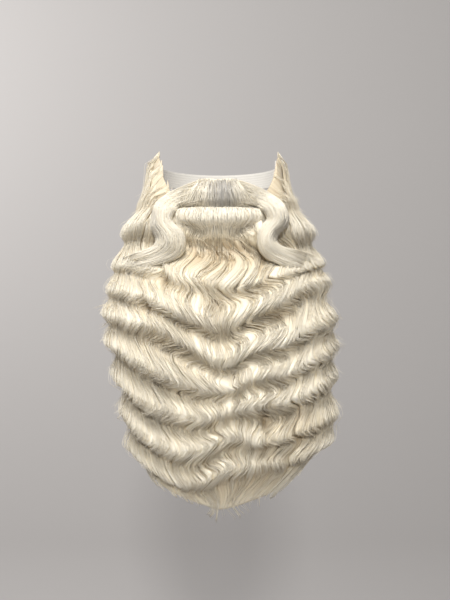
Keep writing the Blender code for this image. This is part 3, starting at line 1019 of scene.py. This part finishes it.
@dataclass
class BeardBody:
    """The long beard: a closed backing, flat locks over it and loose strands on top."""

    form: BeardForm
    finish: HairFinish
    beat: int = 8
    back_beat: int = 6
    group_half: float = 2.6
    sunk: float = 2.0
    shrunk: float = 0.96
    columns: int = 7
    within: float = 0.99
    low_wisps: float = 0.30
    tab_wisps: float = 0.22
    rng: np.random.Generator = field(default_factory=lambda: np.random.default_rng(11))
    material: bpy.types.Material = field(init=False)

    def backing(self) -> None:
        """Closed body under the locks, its columns along the hair."""
        form = self.form
        across, down = 140, 120
        even = np.linspace(-1, 1, across + 1)[:, None]
        base = (0.35 * even + 0.65 * np.sin(even * np.pi / 2)) * form.wrap + np.zeros((1, down + 1))
        top = form.top_phase(base)
        phase = top + (len(CRESTS) - 1 - top) * np.linspace(0, 1, down + 1)[None, :]
        hold = smooth((form.wrap - np.abs(base)) / 0.2)
        turn = base + (form.swung(base, phase, 1.0, phase) - base) * hold
        front, crest = form.skin(turn, phase, -self.sunk)
        back = form.inner(turn, form.height(turn, phase))
        front = back + (front - back) * self.shrunk
        flow = np.stack([base * form.half_width, phase * WAVE_RUN, 0 * base], axis=-1)
        # Painted light: the backing is darker than the locks, painted shade under them, and lighter on the
        # crests, painted highlight
        sheaf = Sheaf("beard_backing").locks(front[None], back[None], (0.30 + 0.3 * crest)[None], flow[None])
        sheaf.build("hair", self.material, "chin_hair", "cheek_hair_left", "cheek_hair_right")

    def places(self, count: int, tiers: float, over: int = 2) -> tuple[Array, Array, int]:
        """Seeded places of locks or strands.

        Args:
            count: How many.
            tiers: Their length in waves.
            over: Steps that may hang past the lowest crest line.

        Returns:
            Base turns, first steps and the number of steps.
        """
        form, rng = self.form, self.rng
        steps = int(round(tiers * self.beat)) + 1
        last = (len(CRESTS) - 1) * self.beat
        base = rng.uniform(-0.985, 0.985, count) * form.wrap
        first = np.floor(form.top_phase(base) * self.beat).astype(int)
        room = np.maximum(last + over - steps - first, 0)
        return base, first + np.round(rng.uniform(-0.06, 1.08, count).clip(0, 1) * room).astype(int), steps

    def lock_layer(self, row: Locks) -> None:
        """Flat locks laid along the waves.

        A lock's cross-section is a lens: lift * sqrt(1 - u^2) over the surface, with a small ripple.

        Args:
            row: The layer.
        """
        form, rng, count = self.form, self.rng, row.count
        base, start, steps = self.places(count, row.tiers, 0)
        u = np.linspace(-1, 1, self.columns)[None, :, None]
        t = np.linspace(0, 1, steps)[None, None, :]
        phase = beat_phases(start, steps, self.beat)[:, None, :]
        lag, lock_tone = (rng.normal(0, s, (count, 1, 1)) for s in (0.028, 0.04))
        ranges = ((0.88, 1.14), (0.65, 1.35), (0, 90))
        gain, size, number = (rng.uniform(a, b, (count, 1, 1)) for a, b in ranges)
        slim = 1 - 0.75 * smooth((t - 0.55) / 0.45)
        width = smooth(t / 0.12 + 0.05) ** 0.5 * slim * smooth((1 - t) / 0.1 + 0.03)
        spread = base[:, None, None] + u * row.half * size * width / form.half_width
        spread = held(spread, self.within * form.wrap)
        turn = form.swung(spread, phase + lag, gain, phase[..., :1] + 0.5 * row.tiers)
        dome = np.sqrt(1 - 0.96 * u ** 2)
        ends = (0.3 + 0.7 * smooth(t / 0.10)) * smooth((1 - t) / 0.15)
        ripple = 0.35 * np.sin(7 * u + number) * np.sqrt(1 - u ** 2 + 1e-6)
        rise = (row.lift * size * dome + ripple) * ends - 1.6 * (1 - dome) - 3.0 * (1 - ends)
        front, crest = form.skin(turn, phase, rise, lag)
        back = front - form.outward(turn) * (0.25 + 1.6 * dome * ends)[..., None]
        # Painted light: lighter on the crests as painted highlight, darker in the valleys and at the lock's
        # edges as painted shade; each lock's own spread is random
        mask = row.tone + 0.34 * crest + lock_tone - 0.10 * (1 - dome)
        across = u * row.half * size + 0 * mask
        flow = np.stack([across, phase * WAVE_RUN + 0 * mask, number + 0 * mask], axis=-1)
        Sheaf(row.name).locks(front, back, mask, flow).build("hair", self.material)

    def back_strands(self, row: Strands) -> None:
        """Strands on the inner side of the hair that hangs free, seen from behind.

        Args:
            row: The layer.
        """
        form, rng, count, tiers = self.form, self.rng, row.count, row.tiers
        pick, many, t = grouped(count, row.group, int(round(tiers * self.back_beat)) + 1)
        base = rng.uniform(-0.95, 0.95, count)[pick, None] * form.wrap + rng.normal(0, 0.03, (many, 1))
        start = rng.uniform(3.2, len(CRESTS) - 0.7 - tiers, count)[pick, None]
        phase = start + rng.uniform(-0.1, 0.1, (many, 1)) + tiers * t
        turn = form.swung(held(base, 0.97 * form.wrap), phase, 0.8, phase)
        z = form.height(turn, phase)
        path = form.inner(turn, z)
        ends = faded(t, 0.12, 0.12)
        sink = 1.6 - (1.6 + row.lift + rng.uniform(0, 1.6, (many, 1))) * ends + 1.2 * form.relief(phase)
        path = path + form.outward(turn) * sink[..., None]
        # Painted highlight on the crests and painted shade in the valleys, over a random spread
        tone = row.tone + 0.14 * form.relief(phase) + rng.normal(0, 0.07, (many, 1))
        radius = strand_radius(rng, row.radius, t, many)
        Sheaf(row.name).strands(path, radius, -form.outward(turn), tone).build("hair", self.material)

    def rim_strands(self, row: Strands) -> None:
        """Strands on the two rounded rims of the hair, seen from behind.

        A strand lies at a share f of the thickness, where the rim has swollen to f: the swelling is
        the root of smooth(x), so x = 0.5 - sin(asin(1 - 2 f^2) / 3).

        Args:
            row: The layer.
        """
        form, rng, count, tiers = self.form, self.rng, row.count, row.tiers
        pick, many, t = grouped(count, row.group, int(round(tiers * self.back_beat)) + 1)
        hand = rng.choice((-1, 1), count)[pick, None]
        top = form.top_phase(hand * form.wrap + 0.0 * t)[:, :1]
        start = top + 0.3 + rng.uniform(0, 1, count)[pick, None] * (len(CRESTS) - 1.6 - tiers - top)
        phase = start + rng.uniform(-0.1, 0.1, (many, 1)) + tiers * t
        share = rng.uniform(0.1, 0.92, count)[pick, None] + rng.normal(0, 0.05, (many, 1))
        share = np.clip(share + 0.07 * np.cos(2 * np.pi * phase), 0.06, 0.97)
        swell = 0.5 - np.sin(np.arcsin(1 - 2 * share ** 2) / 3)
        turn = hand * (form.wrap - (swell - 0.03) * form.rim / form.half_width)
        path, crest = form.skin(turn, phase, 0.0)
        ends = faded(t, 0.12, 0.12)
        path[..., 1] += (row.lift + rng.uniform(0, 1.6, (many, 1))) * ends - 1.5 * (1 - ends)
        # Painted highlight on the crests and painted shade in the valleys and hollows, over a random spread
        tone = row.tone + 0.16 * crest + rng.normal(0, 0.07, (many, 1))
        radius = strand_radius(rng, row.radius, t, many)
        rearward = np.zeros_like(path) + (0.0, 1.0, 0.0)
        Sheaf(row.name).strands(path, radius, rearward, tone).build("hair", self.material)

    def strand_layer(self, row: Strands) -> None:
        """Loose strands in small groups over the locks; a strand strays by loose * sin(pace t + shift).

        Args:
            row: The layer.
        """
        form, rng, count, lift = self.form, self.rng, row.count, row.lift
        base, start, steps = self.places(count, row.tiers, 4)
        if row.tabs:
            base = np.sign(base) * rng.uniform(0.52, 0.985, count) * form.wrap
            start = np.floor(form.top_phase(base) * self.beat + rng.uniform(0, 5, count)).astype(int)
        pick, many, t = grouped(count, row.group, steps)
        phase = beat_phases(start[pick], steps, self.beat)
        lag = (rng.normal(0, 0.03, count)[pick] + rng.normal(0, 0.012, many))[:, None]
        gain = (rng.uniform(0.88, 1.14, count)[pick] * rng.uniform(0.9, 1.1, many))[:, None]
        spread = rng.normal(0, self.group_half, (many, 1)) * (0.5 + 0.5 * np.sin(np.pi * t))
        pace, shift = rng.uniform(0.5, 1.6, (many, 1)), rng.uniform(0, 6.3, (many, 1))
        stray = row.loose * np.sin(2 * np.pi * t * pace + shift)
        centre = base[pick, None] + (spread + stray) / form.half_width
        centre = held(centre, self.within * form.wrap)
        turn = form.swung(centre, phase + lag, gain, phase[:, :1] + 0.5 * row.tiers)
        ends = faded(t, 0.10, 0.12)
        height = lift + rng.normal(0, 0.35 * lift, (many, 1))
        rise = (height + row.loose * np.sin(2 * np.pi * t * pace - shift)) * ends
        path, crest = form.skin(turn, phase, rise - 2.0 * (1 - ends), lag)
        # Painted highlight on the crests and painted shade in the valleys and hollows, over a random spread
        mask = row.tone + 0.3 * crest + rng.normal(0, 0.07, (many, 1))
        thick = strand_radius(rng, row.radius, t, many)
        Sheaf(row.name).strands(path, thick, form.outward(turn), mask).build("hair", self.material)

    def wisps(self, row: Strands) -> None:
        """Small groups of thin strands that leave the sides and the lower edge and curl outward.

        Args:
            row: The layer.
        """
        form, rng, count = self.form, self.rng, row.count
        kind = rng.uniform(0, 1, count)
        low, tab = kind < self.low_wisps, kind > 1 - self.tab_wisps
        side = rng.choice((-1, 1), count) * rng.uniform(1.15, 1.62, count)
        base = np.where(low, rng.uniform(-1.3, 1.3, count), side)
        start = np.where(low, rng.uniform(8.6, 9.3, count), rng.uniform(2.5, 9.0, count))
        start = np.where(tab, form.top_phase(base) + rng.uniform(0, 1.2, count), start)
        pick, many, t = grouped(count, row.group, 13)
        length = rng.uniform(row.tiers, 1.15, (count, 1))[pick] * rng.uniform(0.8, 1.1, (many, 1))
        phase = start[pick, None] + length * t
        spread = rng.normal(0, 2.0, (many, 1)) / form.half_width
        turn = form.swung(held(base[pick, None] + spread, 1.64), phase, 1.0, phase)
        reach = np.where(tab, 0.6, np.where(low, 1.0, 1.25))
        away = rng.uniform(4, 11, (count, 1))[pick] * reach[pick, None]
        away = away + rng.normal(0, 1.5, (many, 1))
        curl = rng.uniform(-2.5, 2.5, (count, 1))[pick]
        curl = curl * np.sin(np.pi * t * rng.uniform(1.0, 2.0, (many, 1)))
        path, crest = form.skin(turn, phase, row.lift + away * t ** 2 - 3.0 * (1 - smooth(t / 0.15)))
        path[..., 2] += curl + 5.0 * t ** 3 * ~low[pick, None]
        # Painted highlight on the crests and painted shade in the valleys and hollows, over a random spread
        mask = row.tone + 0.2 * crest + rng.normal(0, 0.06, (many, 1))
        thick = row.radius * rng.uniform(0.7, 1.2, (many, 1)) * (1.05 - t) ** 0.5
        Sheaf(row.name).strands(path, thick, form.outward(turn), mask).build("hair", self.material)

    def build(self) -> None:
        """Makes the backing, the locks and the strands."""
        self.material = self.finish.material()
        self.backing()
        for locks in LOCKS:
            self.lock_layer(locks)
        for strands in STRANDS:
            self.strand_layer(strands)
        self.wisps(WISPS)
        self.back_strands(BACK_STRANDS)
        self.rim_strands(RIM_STRANDS)


@dataclass
class LipRoll:
    """Roll of hair under the mouth: the strands turn over it and run down into the chin."""

    form: BeardForm
    strands: int = 500
    radius: float = 0.5
    half: float = 56.0
    middle: float = 18.6
    half_high: float = 12.6
    half_deep: float = 10.0
    end: float = 0.995
    rng: np.random.Generator = field(default_factory=lambda: np.random.default_rng(17))

    def around(self, share: Array, angle: Array, size: Array | float) -> Array:
        """Point of the roll: an oval of the given size carried along the lip of the net.

        Args:
            share: Place across, from -1 to 1.
            angle: Place round the oval, 90 degrees at the top and 0 in front.
            size: Share of the full oval.

        Returns:
            The points.
        """
        thick = np.maximum(1 - 0.98 * share ** 2, 0.0) ** 0.28 * size
        height = self.middle + 4.0 * share ** 2 + self.half_high * thick * np.sin(angle)
        x = self.half * share
        turn = at_turn(x / (self.form.jaw(height) + 2 * self.half_deep))
        out = 2.0 + 0.8 * self.half_deep + 9.0 * share ** 2 + self.half_deep * thick * np.cos(angle)
        return self.form.net(turn, height, out)

    def build(self, material: bpy.types.Material) -> None:
        """Makes the closed core and the strands over it.

        Args:
            material: The hair's finish.
        """
        across, rounds, brim = 61, 25, np.radians(150)
        share = np.linspace(-self.end, self.end, across)[:, None]
        angle = np.linspace(brim, -brim, rounds)[None, :]
        size = 0.93 - 0.33 * smooth(0.2 - angle)
        front = self.around(share, angle, size)
        back = self.around(share, angle, size - 0.13)
        flow = np.stack(np.broadcast_arrays(self.half * share, self.half_high * angle, 0.0), axis=-1)
        core = Sheaf("lip_roll_core")
        core.locks(front[None], back[None], np.full((1, across, rounds), 0.6), flow[None])
        core.build("hair", material, "lip_roll")
        rng, count, t = self.rng, self.strands, shares(20)
        share = rng.uniform(-0.99, 0.99, (count, 1))
        angle = np.radians(rng.uniform(120, 150, (count, 1))) * (1 - t) - brim * t
        pace, shift = rng.uniform(0.4, 0.9, (count, 1)), rng.uniform(0, 6, (count, 1))
        lean = held(share + 0.03 * np.sin(2 * np.pi * t * pace + shift), self.end)
        size = 1.0 + rng.normal(0, 0.03, (count, 1))
        over = self.around(lean, angle, size)
        turn = at_turn(over[..., 0] / (self.form.half_width * 0.88))
        phase = 1.98 + rng.uniform(0.3, 0.62, (count, 1)) * smooth((t - 0.5) / 0.5)
        down, _ = self.form.skin(turn, phase, 1.2)
        join = smooth((t - 0.50) / 0.34)[..., None]
        path = over * (1 - join) + down * join
        # Painted shade: darker as the strands run down off the roll into the valley under it, over a random
        # spread
        tone = 0.92 + rng.normal(0, 0.06, (count, 1)) - 0.58 * smooth((t - 0.50) / 0.36)
        radius = strand_radius(rng, self.radius, t, count)
        sheaf = Sheaf("lip_roll_strands").strands(path, radius, self.form.outward(turn), tone)
        sheaf.build("hair", material)


@dataclass
class Moustache:
    """The two S-shaped halves of the moustache and the short hair that falls at the parting."""

    form: BeardForm
    finish: HairFinish
    wide: int = 25
    long: int = 98
    core_long: int = 90
    passes: int = 26
    half_count: int = 600
    fall_count: int = 460
    radius: float = 0.48
    rng: np.random.Generator = field(default_factory=lambda: np.random.default_rng(29))
    material: bpy.types.Material = field(init=False)

    def under(self, x: Array, z: Array) -> Array:
        """Depth of what a half lies on, seen from the front: the waved hair, or the net above it.

        Args:
            x: Place across.
            z: Height.

        Returns:
            Places along Y.
        """
        form = self.form
        x = np.abs(x)
        net = form.net(at_turn(x / (form.jaw(z) + 2.0), 0.97), z, 2.0)[..., 1]
        turn = at_turn(x / (form.half_width * form.fall("width", z)), 0.97)
        hair = form.face(turn, z, 4.5)[..., 1]
        top = form.height(turn, form.top_phase(turn)) + 8.0
        return np.minimum(net, hair + (net - hair) * (1 - smooth(0.2 + (top - z) / form.rim)))

    def lip_dome(self, share: Array, start: float, rise: float) -> Array:
        """Bulge over the lip at a share w of its height: smooth(start + w / rise)^0.6, turned in below."""
        return smooth(start + share / rise) ** 0.6 * (1 - 0.42 * smooth((share - 0.74) / 0.26))

    def surface(self, rows: tuple[Edge, ...], hand: Hand) -> tuple[Array, Array]:
        """Front of a half and the face that it lies on, as grids from its upper to its lower edge.

        Between the edges the front stands out by thick * sin(pi w)^0.55 at a share w across, and
        on the lip by thick * lip_dome(w).

        Args:
            rows: The half's table.
            hand: Which half.

        Returns:
            Front and back grids of shape (wide, long, 3).
        """
        at = np.linspace(0, len(rows) - 1, self.long)[None, :]
        place = tuple(float(i) for i in range(len(rows)))
        over_x, over_z, under_x, under_z, thick = (
            through(at, place, tuple(getattr(r, name) for r in rows)) for name in Edge._fields)
        w = np.linspace(0, 1, self.wide)[:, None]
        x = hand.value * (over_x * (1 - w) + under_x * w)
        z = over_z * (1 - w) + under_z * w
        base = self.under(x, z)
        for _ in range(self.passes):
            padded = np.pad(base, 1, mode="edge")
            base = 0.25 * (padded[:-2, 1:-1] + padded[2:, 1:-1] + padded[1:-1, :-2] + padded[1:-1, 2:])
        lip = 1 - smooth((at - 3.0) / 2.5)
        round_top = np.sin(np.pi * np.clip(w, 0.004, 0.996)) ** 0.55
        dome = (1 - lip) * round_top + lip * self.lip_dome(w, 0.1, 0.6)
        front = np.stack([x, base - 1.0 - thick * dome, z], axis=-1)
        return front, np.stack([x, base + 0.5, z], axis=-1)

    def core(self, name: str, rows: tuple[Edge, ...], hand: Hand, node: str) -> None:
        """Closed core under the strands, streaked along the half.

        Args:
            name: The piece's name.
            rows: The half's table.
            hand: Which half.
            node: The solid that it takes the place of.
        """
        wide, long = self.wide, self.core_long
        front, back = (grid[:, :long] for grid in self.surface(rows, hand))
        thin = np.linspace(0, 1, long)[None, :]
        front[..., 1] += 1.2 + (back - front)[..., 1] * 0.8 * smooth((thin - 0.75) / 0.25)
        if hand is Hand.LEFT:
            front, back = front[::-1], back[::-1]
        w, at = np.meshgrid(np.linspace(0, 30, wide), np.linspace(0, 190, long), indexing="ij")
        flow = np.stack([w, at, 0 * w + 5 * hand.value], axis=-1)
        front, back, flow = (np.swapaxes(grid, 0, 1)[None] for grid in (front, back, flow))
        sheaf = Sheaf(name).locks(front, back, np.full((1, long, wide), 0.66), flow)
        sheaf.build("moustache_hair", self.material, node)

    def half_strands(self, name: str, rows: tuple[Edge, ...], hand: Hand, count: int) -> None:
        """Strands that start on the lip and run along a half, each drifting to its own share across.

        Args:
            name: The piece's name.
            rows: The half's table.
            hand: Which half.
            count: Number of strands.
        """
        rng, wide, long, t = self.rng, self.wide, self.long, shares(24)
        front, _ = self.surface(rows, hand)
        begin = 0.07 + 0.58 * rng.uniform(0, 1, (count, 1)) ** 1.4
        end = np.minimum(rng.uniform(0.86, 1.0, (count, 1)), begin + rng.uniform(0.35, 0.8, (count, 1)))
        at = begin + (end - begin) * t
        final = rng.uniform(0.02, 0.98, (count, 1))
        root = final * rng.uniform(0.35, 1.0, (count, 1)) ** 0.7
        mix = smooth((at - begin) / 0.22)
        w = root * (1 - mix) + final * mix + 0.02 * np.sin(9 * at + rng.uniform(0, 6, (count, 1)))
        w = np.clip(w, 0.004, 0.996)
        i, j = (np.clip((v * (n - 1)).astype(int), 0, n - 2) for v, n in ((w, wide), (at, long)))
        f, g = (w * (wide - 1) - i)[..., None], (at * (long - 1) - j)[..., None]
        path = ((front[i, j] * (1 - f) + front[i + 1, j] * f) * (1 - g)
                + (front[i, j + 1] * (1 - f) + front[i + 1, j + 1] * f) * g)
        ends = faded(t, 0.08, 0.10)
        path[..., 1] -= (0.2 + rng.uniform(0, 2.2, (count, 1))) * ends - 2.0 * (1 - ends)
        outward = np.stack([0 * w, -1 + 0 * w, np.cos(np.pi * w)], axis=-1)
        # Painted shade: darker at the ends, where each strand tucks under, over a random spread
        tone = 0.80 + rng.normal(0, 0.10, (count, 1)) - 0.12 * (1 - ends)
        radius = strand_radius(rng, self.radius, t, count)
        Sheaf(name).strands(path, radius, outward, tone).build("moustache_hair", self.material)

    def fall(self, count: int) -> None:
        """Short hair that falls straight over the lip in the middle, greyer than the rest.

        Args:
            count: Number of strands.
        """
        rng, form, t = self.rng, self.form, shares(16)
        x = rng.uniform(-21, 21, (count, 1))
        top = 62.5 + 2.0 * smooth(np.abs(x) / 16) - rng.uniform(0, 1, (count, 1)) ** 2 * 14
        low = 27.4 + rng.uniform(0, 3.2, (count, 1))
        z = top + (low - top) * t
        lean = 1 + (0.04 + 0.75 * smooth(np.abs(x) / 24)) * t ** 1.4
        across = x * lean + 0.4 * np.sin(5 * t + rng.uniform(0, 6, (count, 1)))
        share = np.clip((64.0 - z) / 33.0, 0.004, 0.996)
        angle = at_turn(across / (form.jaw(z) + 2))
        bulge = 2.5 + 13.5 * self.lip_dome(share, 0.08, 0.62) + rng.normal(0, 0.5, (count, 1))
        path = form.net(angle, z, bulge)
        grey = 0.95 * np.exp(-((across - 4.0) / 14.0) ** 2) * rng.uniform(0.5, 1.1, (count, 1))
        tone = 0.78 + rng.normal(0, 0.08, (count, 1)) + 0 * t
        radius = 0.45 * rng.uniform(0.6, 1.2, (count, 1)) * (0.4 + 0.6 * np.sin(np.pi * t) ** 0.5)
        sheaf = Sheaf("moustache_fall").strands(path, radius, form.outward(angle), tone, grey)
        sheaf.build("moustache_hair", self.material)

    def build(self) -> None:
        """Makes the cores, the strands of both halves and the fall in the middle."""
        self.material = self.finish.material()
        for side, rows, hand in (("left", LEFT_EDGES, Hand.LEFT), ("right", RIGHT_EDGES, Hand.RIGHT)):
            self.core(f"moustache_{side}_core", rows, hand, f"moustache_{side}")
            self.half_strands(f"moustache_{side}_strands", rows, hand, self.half_count)
        self.fall(self.fall_count)


@dataclass
class Foundation:
    """The net cup, the lip strip and the head elastic."""

    form: BeardForm
    net: ClothFinish
    elastic: ClothFinish
    wall: float = 1.5
    cup_wall: float = 0.7
    tuck_in: float = 24.0
    tuck_down: float = 9.0
    strip_span: float = np.radians(40)
    strip_width: float = 16.0
    strip_middle: float = 55.0
    strip_gap: float = 0.4
    band_wall: float = 1.2
    band_lap: float = 16.0
    ear: float = 22.0
    ribs: int = 7
    rib_height: float = 0.12
    net_material: bpy.types.Material = field(init=False)
    elastic_material: bpy.types.Material = field(init=False)

    def sheet(self, name: str, points: Array, wall: float, slot: str, material: bpy.types.Material,
              node: str) -> bpy.types.Object:
        """Open grid given a wall on its outer side.

        Args:
            name: The piece's name.
            points: Grid of shape (a, d, 3), left to right and top to bottom seen from outside.
            wall: Thickness.
            slot: Material slot of the record.
            material: Finish.
            node: Solid that the piece stands for.

        Returns:
            The piece.
        """
        piece = make_mesh(name, points.reshape(-1, 3), grid_quads(points.shape[0] - 1, points.shape[1] - 1))
        set_uv(piece, self.cloth_places(points).reshape(-1, 2))
        thick = piece.modifiers.new("wall", "SOLIDIFY")
        thick.thickness = wall * MM
        thick.offset = 1.0
        settle(piece, slot, material, node)
        return piece

    def cloth_places(self, points: Array) -> Array:
        """Lengths along both directions of a grid, in millimetres."""
        u, v = lengths(points, 0), lengths(points, 1)
        return np.stack([u.mean(axis=1, keepdims=True) + 0 * v, v], axis=-1)

    def cup(self) -> None:
        """Net round the jaw from tab to tab, its low part turned in under the chin."""
        form = self.form
        share = np.linspace(-1, 1, 109)[:, None]
        run = np.linspace(0, 1, 37)[None, :]
        top = form.tab_top * through(np.abs(share), CUP_AT, CUP_TOPS)
        low = form.tab_top * through(np.abs(share), CUP_AT, CUP_LOWS)
        z = top + (low - top) * np.minimum(run / self.cup_wall, 1)
        tuck = np.maximum(run - self.cup_wall, 0) / (1 - self.cup_wall) * np.pi / 2
        under = np.maximum(0.0, 1 - np.abs(share) / 0.8) ** 0.5
        points = form.net(share * np.pi / 2 + 0 * run, z, -self.tuck_in * (1 - np.cos(tuck)) * under)
        points[..., 2] -= self.tuck_down * np.sin(tuck) * under
        cup = self.sheet("net_cup", points, self.wall, "net", self.net_material, "chin_base")

    def strip(self) -> None:
        """Net strip on the upper lip, its ends over the outside of the cup."""
        form, span, width, middle = self.form, self.strip_span, self.strip_width, self.strip_middle
        share = np.linspace(-1, 1, 61)[:, None]
        run = np.linspace(0.5, -0.5, 9)[None, :]
        lap_height = form.tab_top * through(span / (np.pi / 2), CUP_AT[:4], CUP_TOPS[:4])
        z = middle - (middle - lap_height + 0.3 * width) * smooth(np.abs(share)) + width * run
        out = (self.wall + self.strip_gap) * smooth((np.abs(share) - 0.35) / 0.3)
        points = form.net(share * span + 0 * run, z, out)
        strip = self.sheet("lip_strip", points, self.wall, "net", self.net_material, "lip_base")

    def band(self) -> None:
        """Ribbed flat elastic from tab to tab round the back."""
        low, high = node_size("head_elastic")
        form = self.form
        half, middle, width = high[0], 0.5 * (low[2] + high[2]), high[2] - low[2]
        ear = form.face_depth + self.ear
        turn = np.linspace(0, np.pi, 121)
        back = np.stack([half * np.cos(turn), ear + (high[1] - ear) * np.sin(turn)], axis=1)
        y = form.face_depth - self.band_lap * (1 - np.linspace(0, 1, 17))
        inside = form.jaw(np.array(middle)) - 0.9 - self.band_wall
        x = inside * np.sin(np.arccos((form.face_depth - y) / form.face_depth))
        right = np.stack([x, y], axis=1)
        path = np.concatenate([right, back, right[::-1] * (-1, 1)])
        rows = 35
        run = np.linspace(0.5, -0.5, rows)[None, :]
        points = np.zeros((len(path), rows, 3))
        points[..., :2] = path[:, None, :]
        points[..., 2] = middle + width * run
        along = unit(np.gradient(path, axis=0))
        normal = np.stack([along[:, 1], -along[:, 0]], axis=1)
        rib = self.rib_height * np.cos(2 * np.pi * self.ribs * run)
        points[..., :2] += normal[:, None, :] * rib[..., None]
        finish = self.elastic_material
        band = self.sheet("elastic_band", points[::-1], self.band_wall, "elastic", finish, "head_elastic")

    def build(self) -> None:
        """Makes the three cloth pieces."""
        self.net_material = self.net.material()
        self.elastic_material = self.elastic.material()
        self.cup()
        self.strip()
        self.band()


@dataclass
class Studio:
    """Pale stage, soft light from above and the camera at the photo's angle, in metres."""

    wall_back: float = 1.75
    floor: float = -1.35
    half: float = 4.0
    sweep: float = 0.5
    front: float = -3.0
    high: float = 3.6
    camera_place: Triple = (0.0077, -0.90, -0.070)
    lens: float = 49.0
    room_colour: Triple = (0.82, 0.80, 0.80)
    room_light: float = 0.28

    def stage(self) -> None:
        """Floor that curves up into the backdrop: a quarter circle between two flats."""
        paint = StagePaint("stage_paint", (0.50, 0.485, 0.48)).material()
        turn = np.linspace(0, np.pi / 2, 24)
        curve = self.wall_back - self.sweep + self.sweep * np.sin(turn)
        y = np.concatenate([[self.front], curve, [self.wall_back]])
        z = np.concatenate([[0.0], self.sweep * (1 - np.cos(turn)), [self.high]]) + self.floor
        x = np.array([-self.half, self.half])
        points = np.stack(np.broadcast_arrays(x[:, None], y[None, :], z[None, :]), axis=-1) / MM
        piece = make_mesh("stage_sweep", points.reshape(-1, 3), grid_quads(1, len(y) - 1)[:, ::-1])
        piece.data.materials.append(paint)

    def lamp(self, row: Lamp) -> None:
        """Makes one lamp, turned from its place to its aim.

        Args:
            row: The lamp.
        """
        light = bpy.data.lights.new(row.name, "AREA")
        light.shape = "SQUARE"
        light.size, light.energy, light.color = row.size, row.power, row.colour
        lamp = bpy.data.objects.new(row.name, light)
        bpy.context.scene.collection.objects.link(lamp)
        toward = np.array(row.aim) - np.array(row.place)
        yaw = np.arctan2(toward[1], toward[0]) - np.pi / 2
        pitch = np.arctan2(np.hypot(toward[0], toward[1]), -toward[2])
        lamp.location = row.place
        lamp.rotation_euler = (pitch, 0, yaw)

    def camera(self) -> None:
        """Level camera in front of the beard."""
        data = bpy.data.cameras.new("photo_view")
        data.sensor_fit = "VERTICAL"
        data.sensor_height = 36.0
        data.lens = self.lens
        camera = bpy.data.objects.new("photo_view", data)
        bpy.context.scene.collection.objects.link(camera)
        camera.location = self.camera_place
        camera.rotation_euler = (np.pi / 2, 0, 0)
        bpy.context.scene.camera = camera

    def build(self) -> None:
        """Makes the stage, the lamps, the world and the camera."""
        self.stage()
        for row in LAMPS:
            self.lamp(row)
        self.camera()
        world = bpy.data.worlds.new("room")
        world.use_nodes = True
        light = {"Color": opaque(self.room_colour), "Strength": self.room_light}
        Wiring(world.node_tree).feed(world.node_tree.nodes["Background"], light)
        bpy.context.scene.world = world
        bpy.context.scene.view_settings.view_transform = "Standard"


def main() -> None:
    """Builds every assembly in order and reports each piece."""
    logging.basicConfig(level=logging.INFO, format="%(name)s: %(message)s")
    form = BeardForm.from_frame()
    net = ClothFinish("knotted_net", thread=(0.72, 0.60, 0.45), between=(0.48, 0.37, 0.26),
                      pitch_u=1.3, pitch_v=1.3, slant=0.6, height=0.35)
    elastic = ClothFinish("knitted_elastic", thread=(0.82, 0.80, 0.76), between=(0.62, 0.60, 0.56),
                          pitch_u=0.9, pitch_v=3.1, slant=0.0, height=0.25)
    Foundation(form, net, elastic).build()
    body = BeardBody(form, HairFinish("cream_hair"))
    body.build()
    LipRoll(form).build(body.material)
    Moustache(form, HairFinish("moustache_hair")).build()
    Studio().build()


if __name__ == "__main__":
    main()
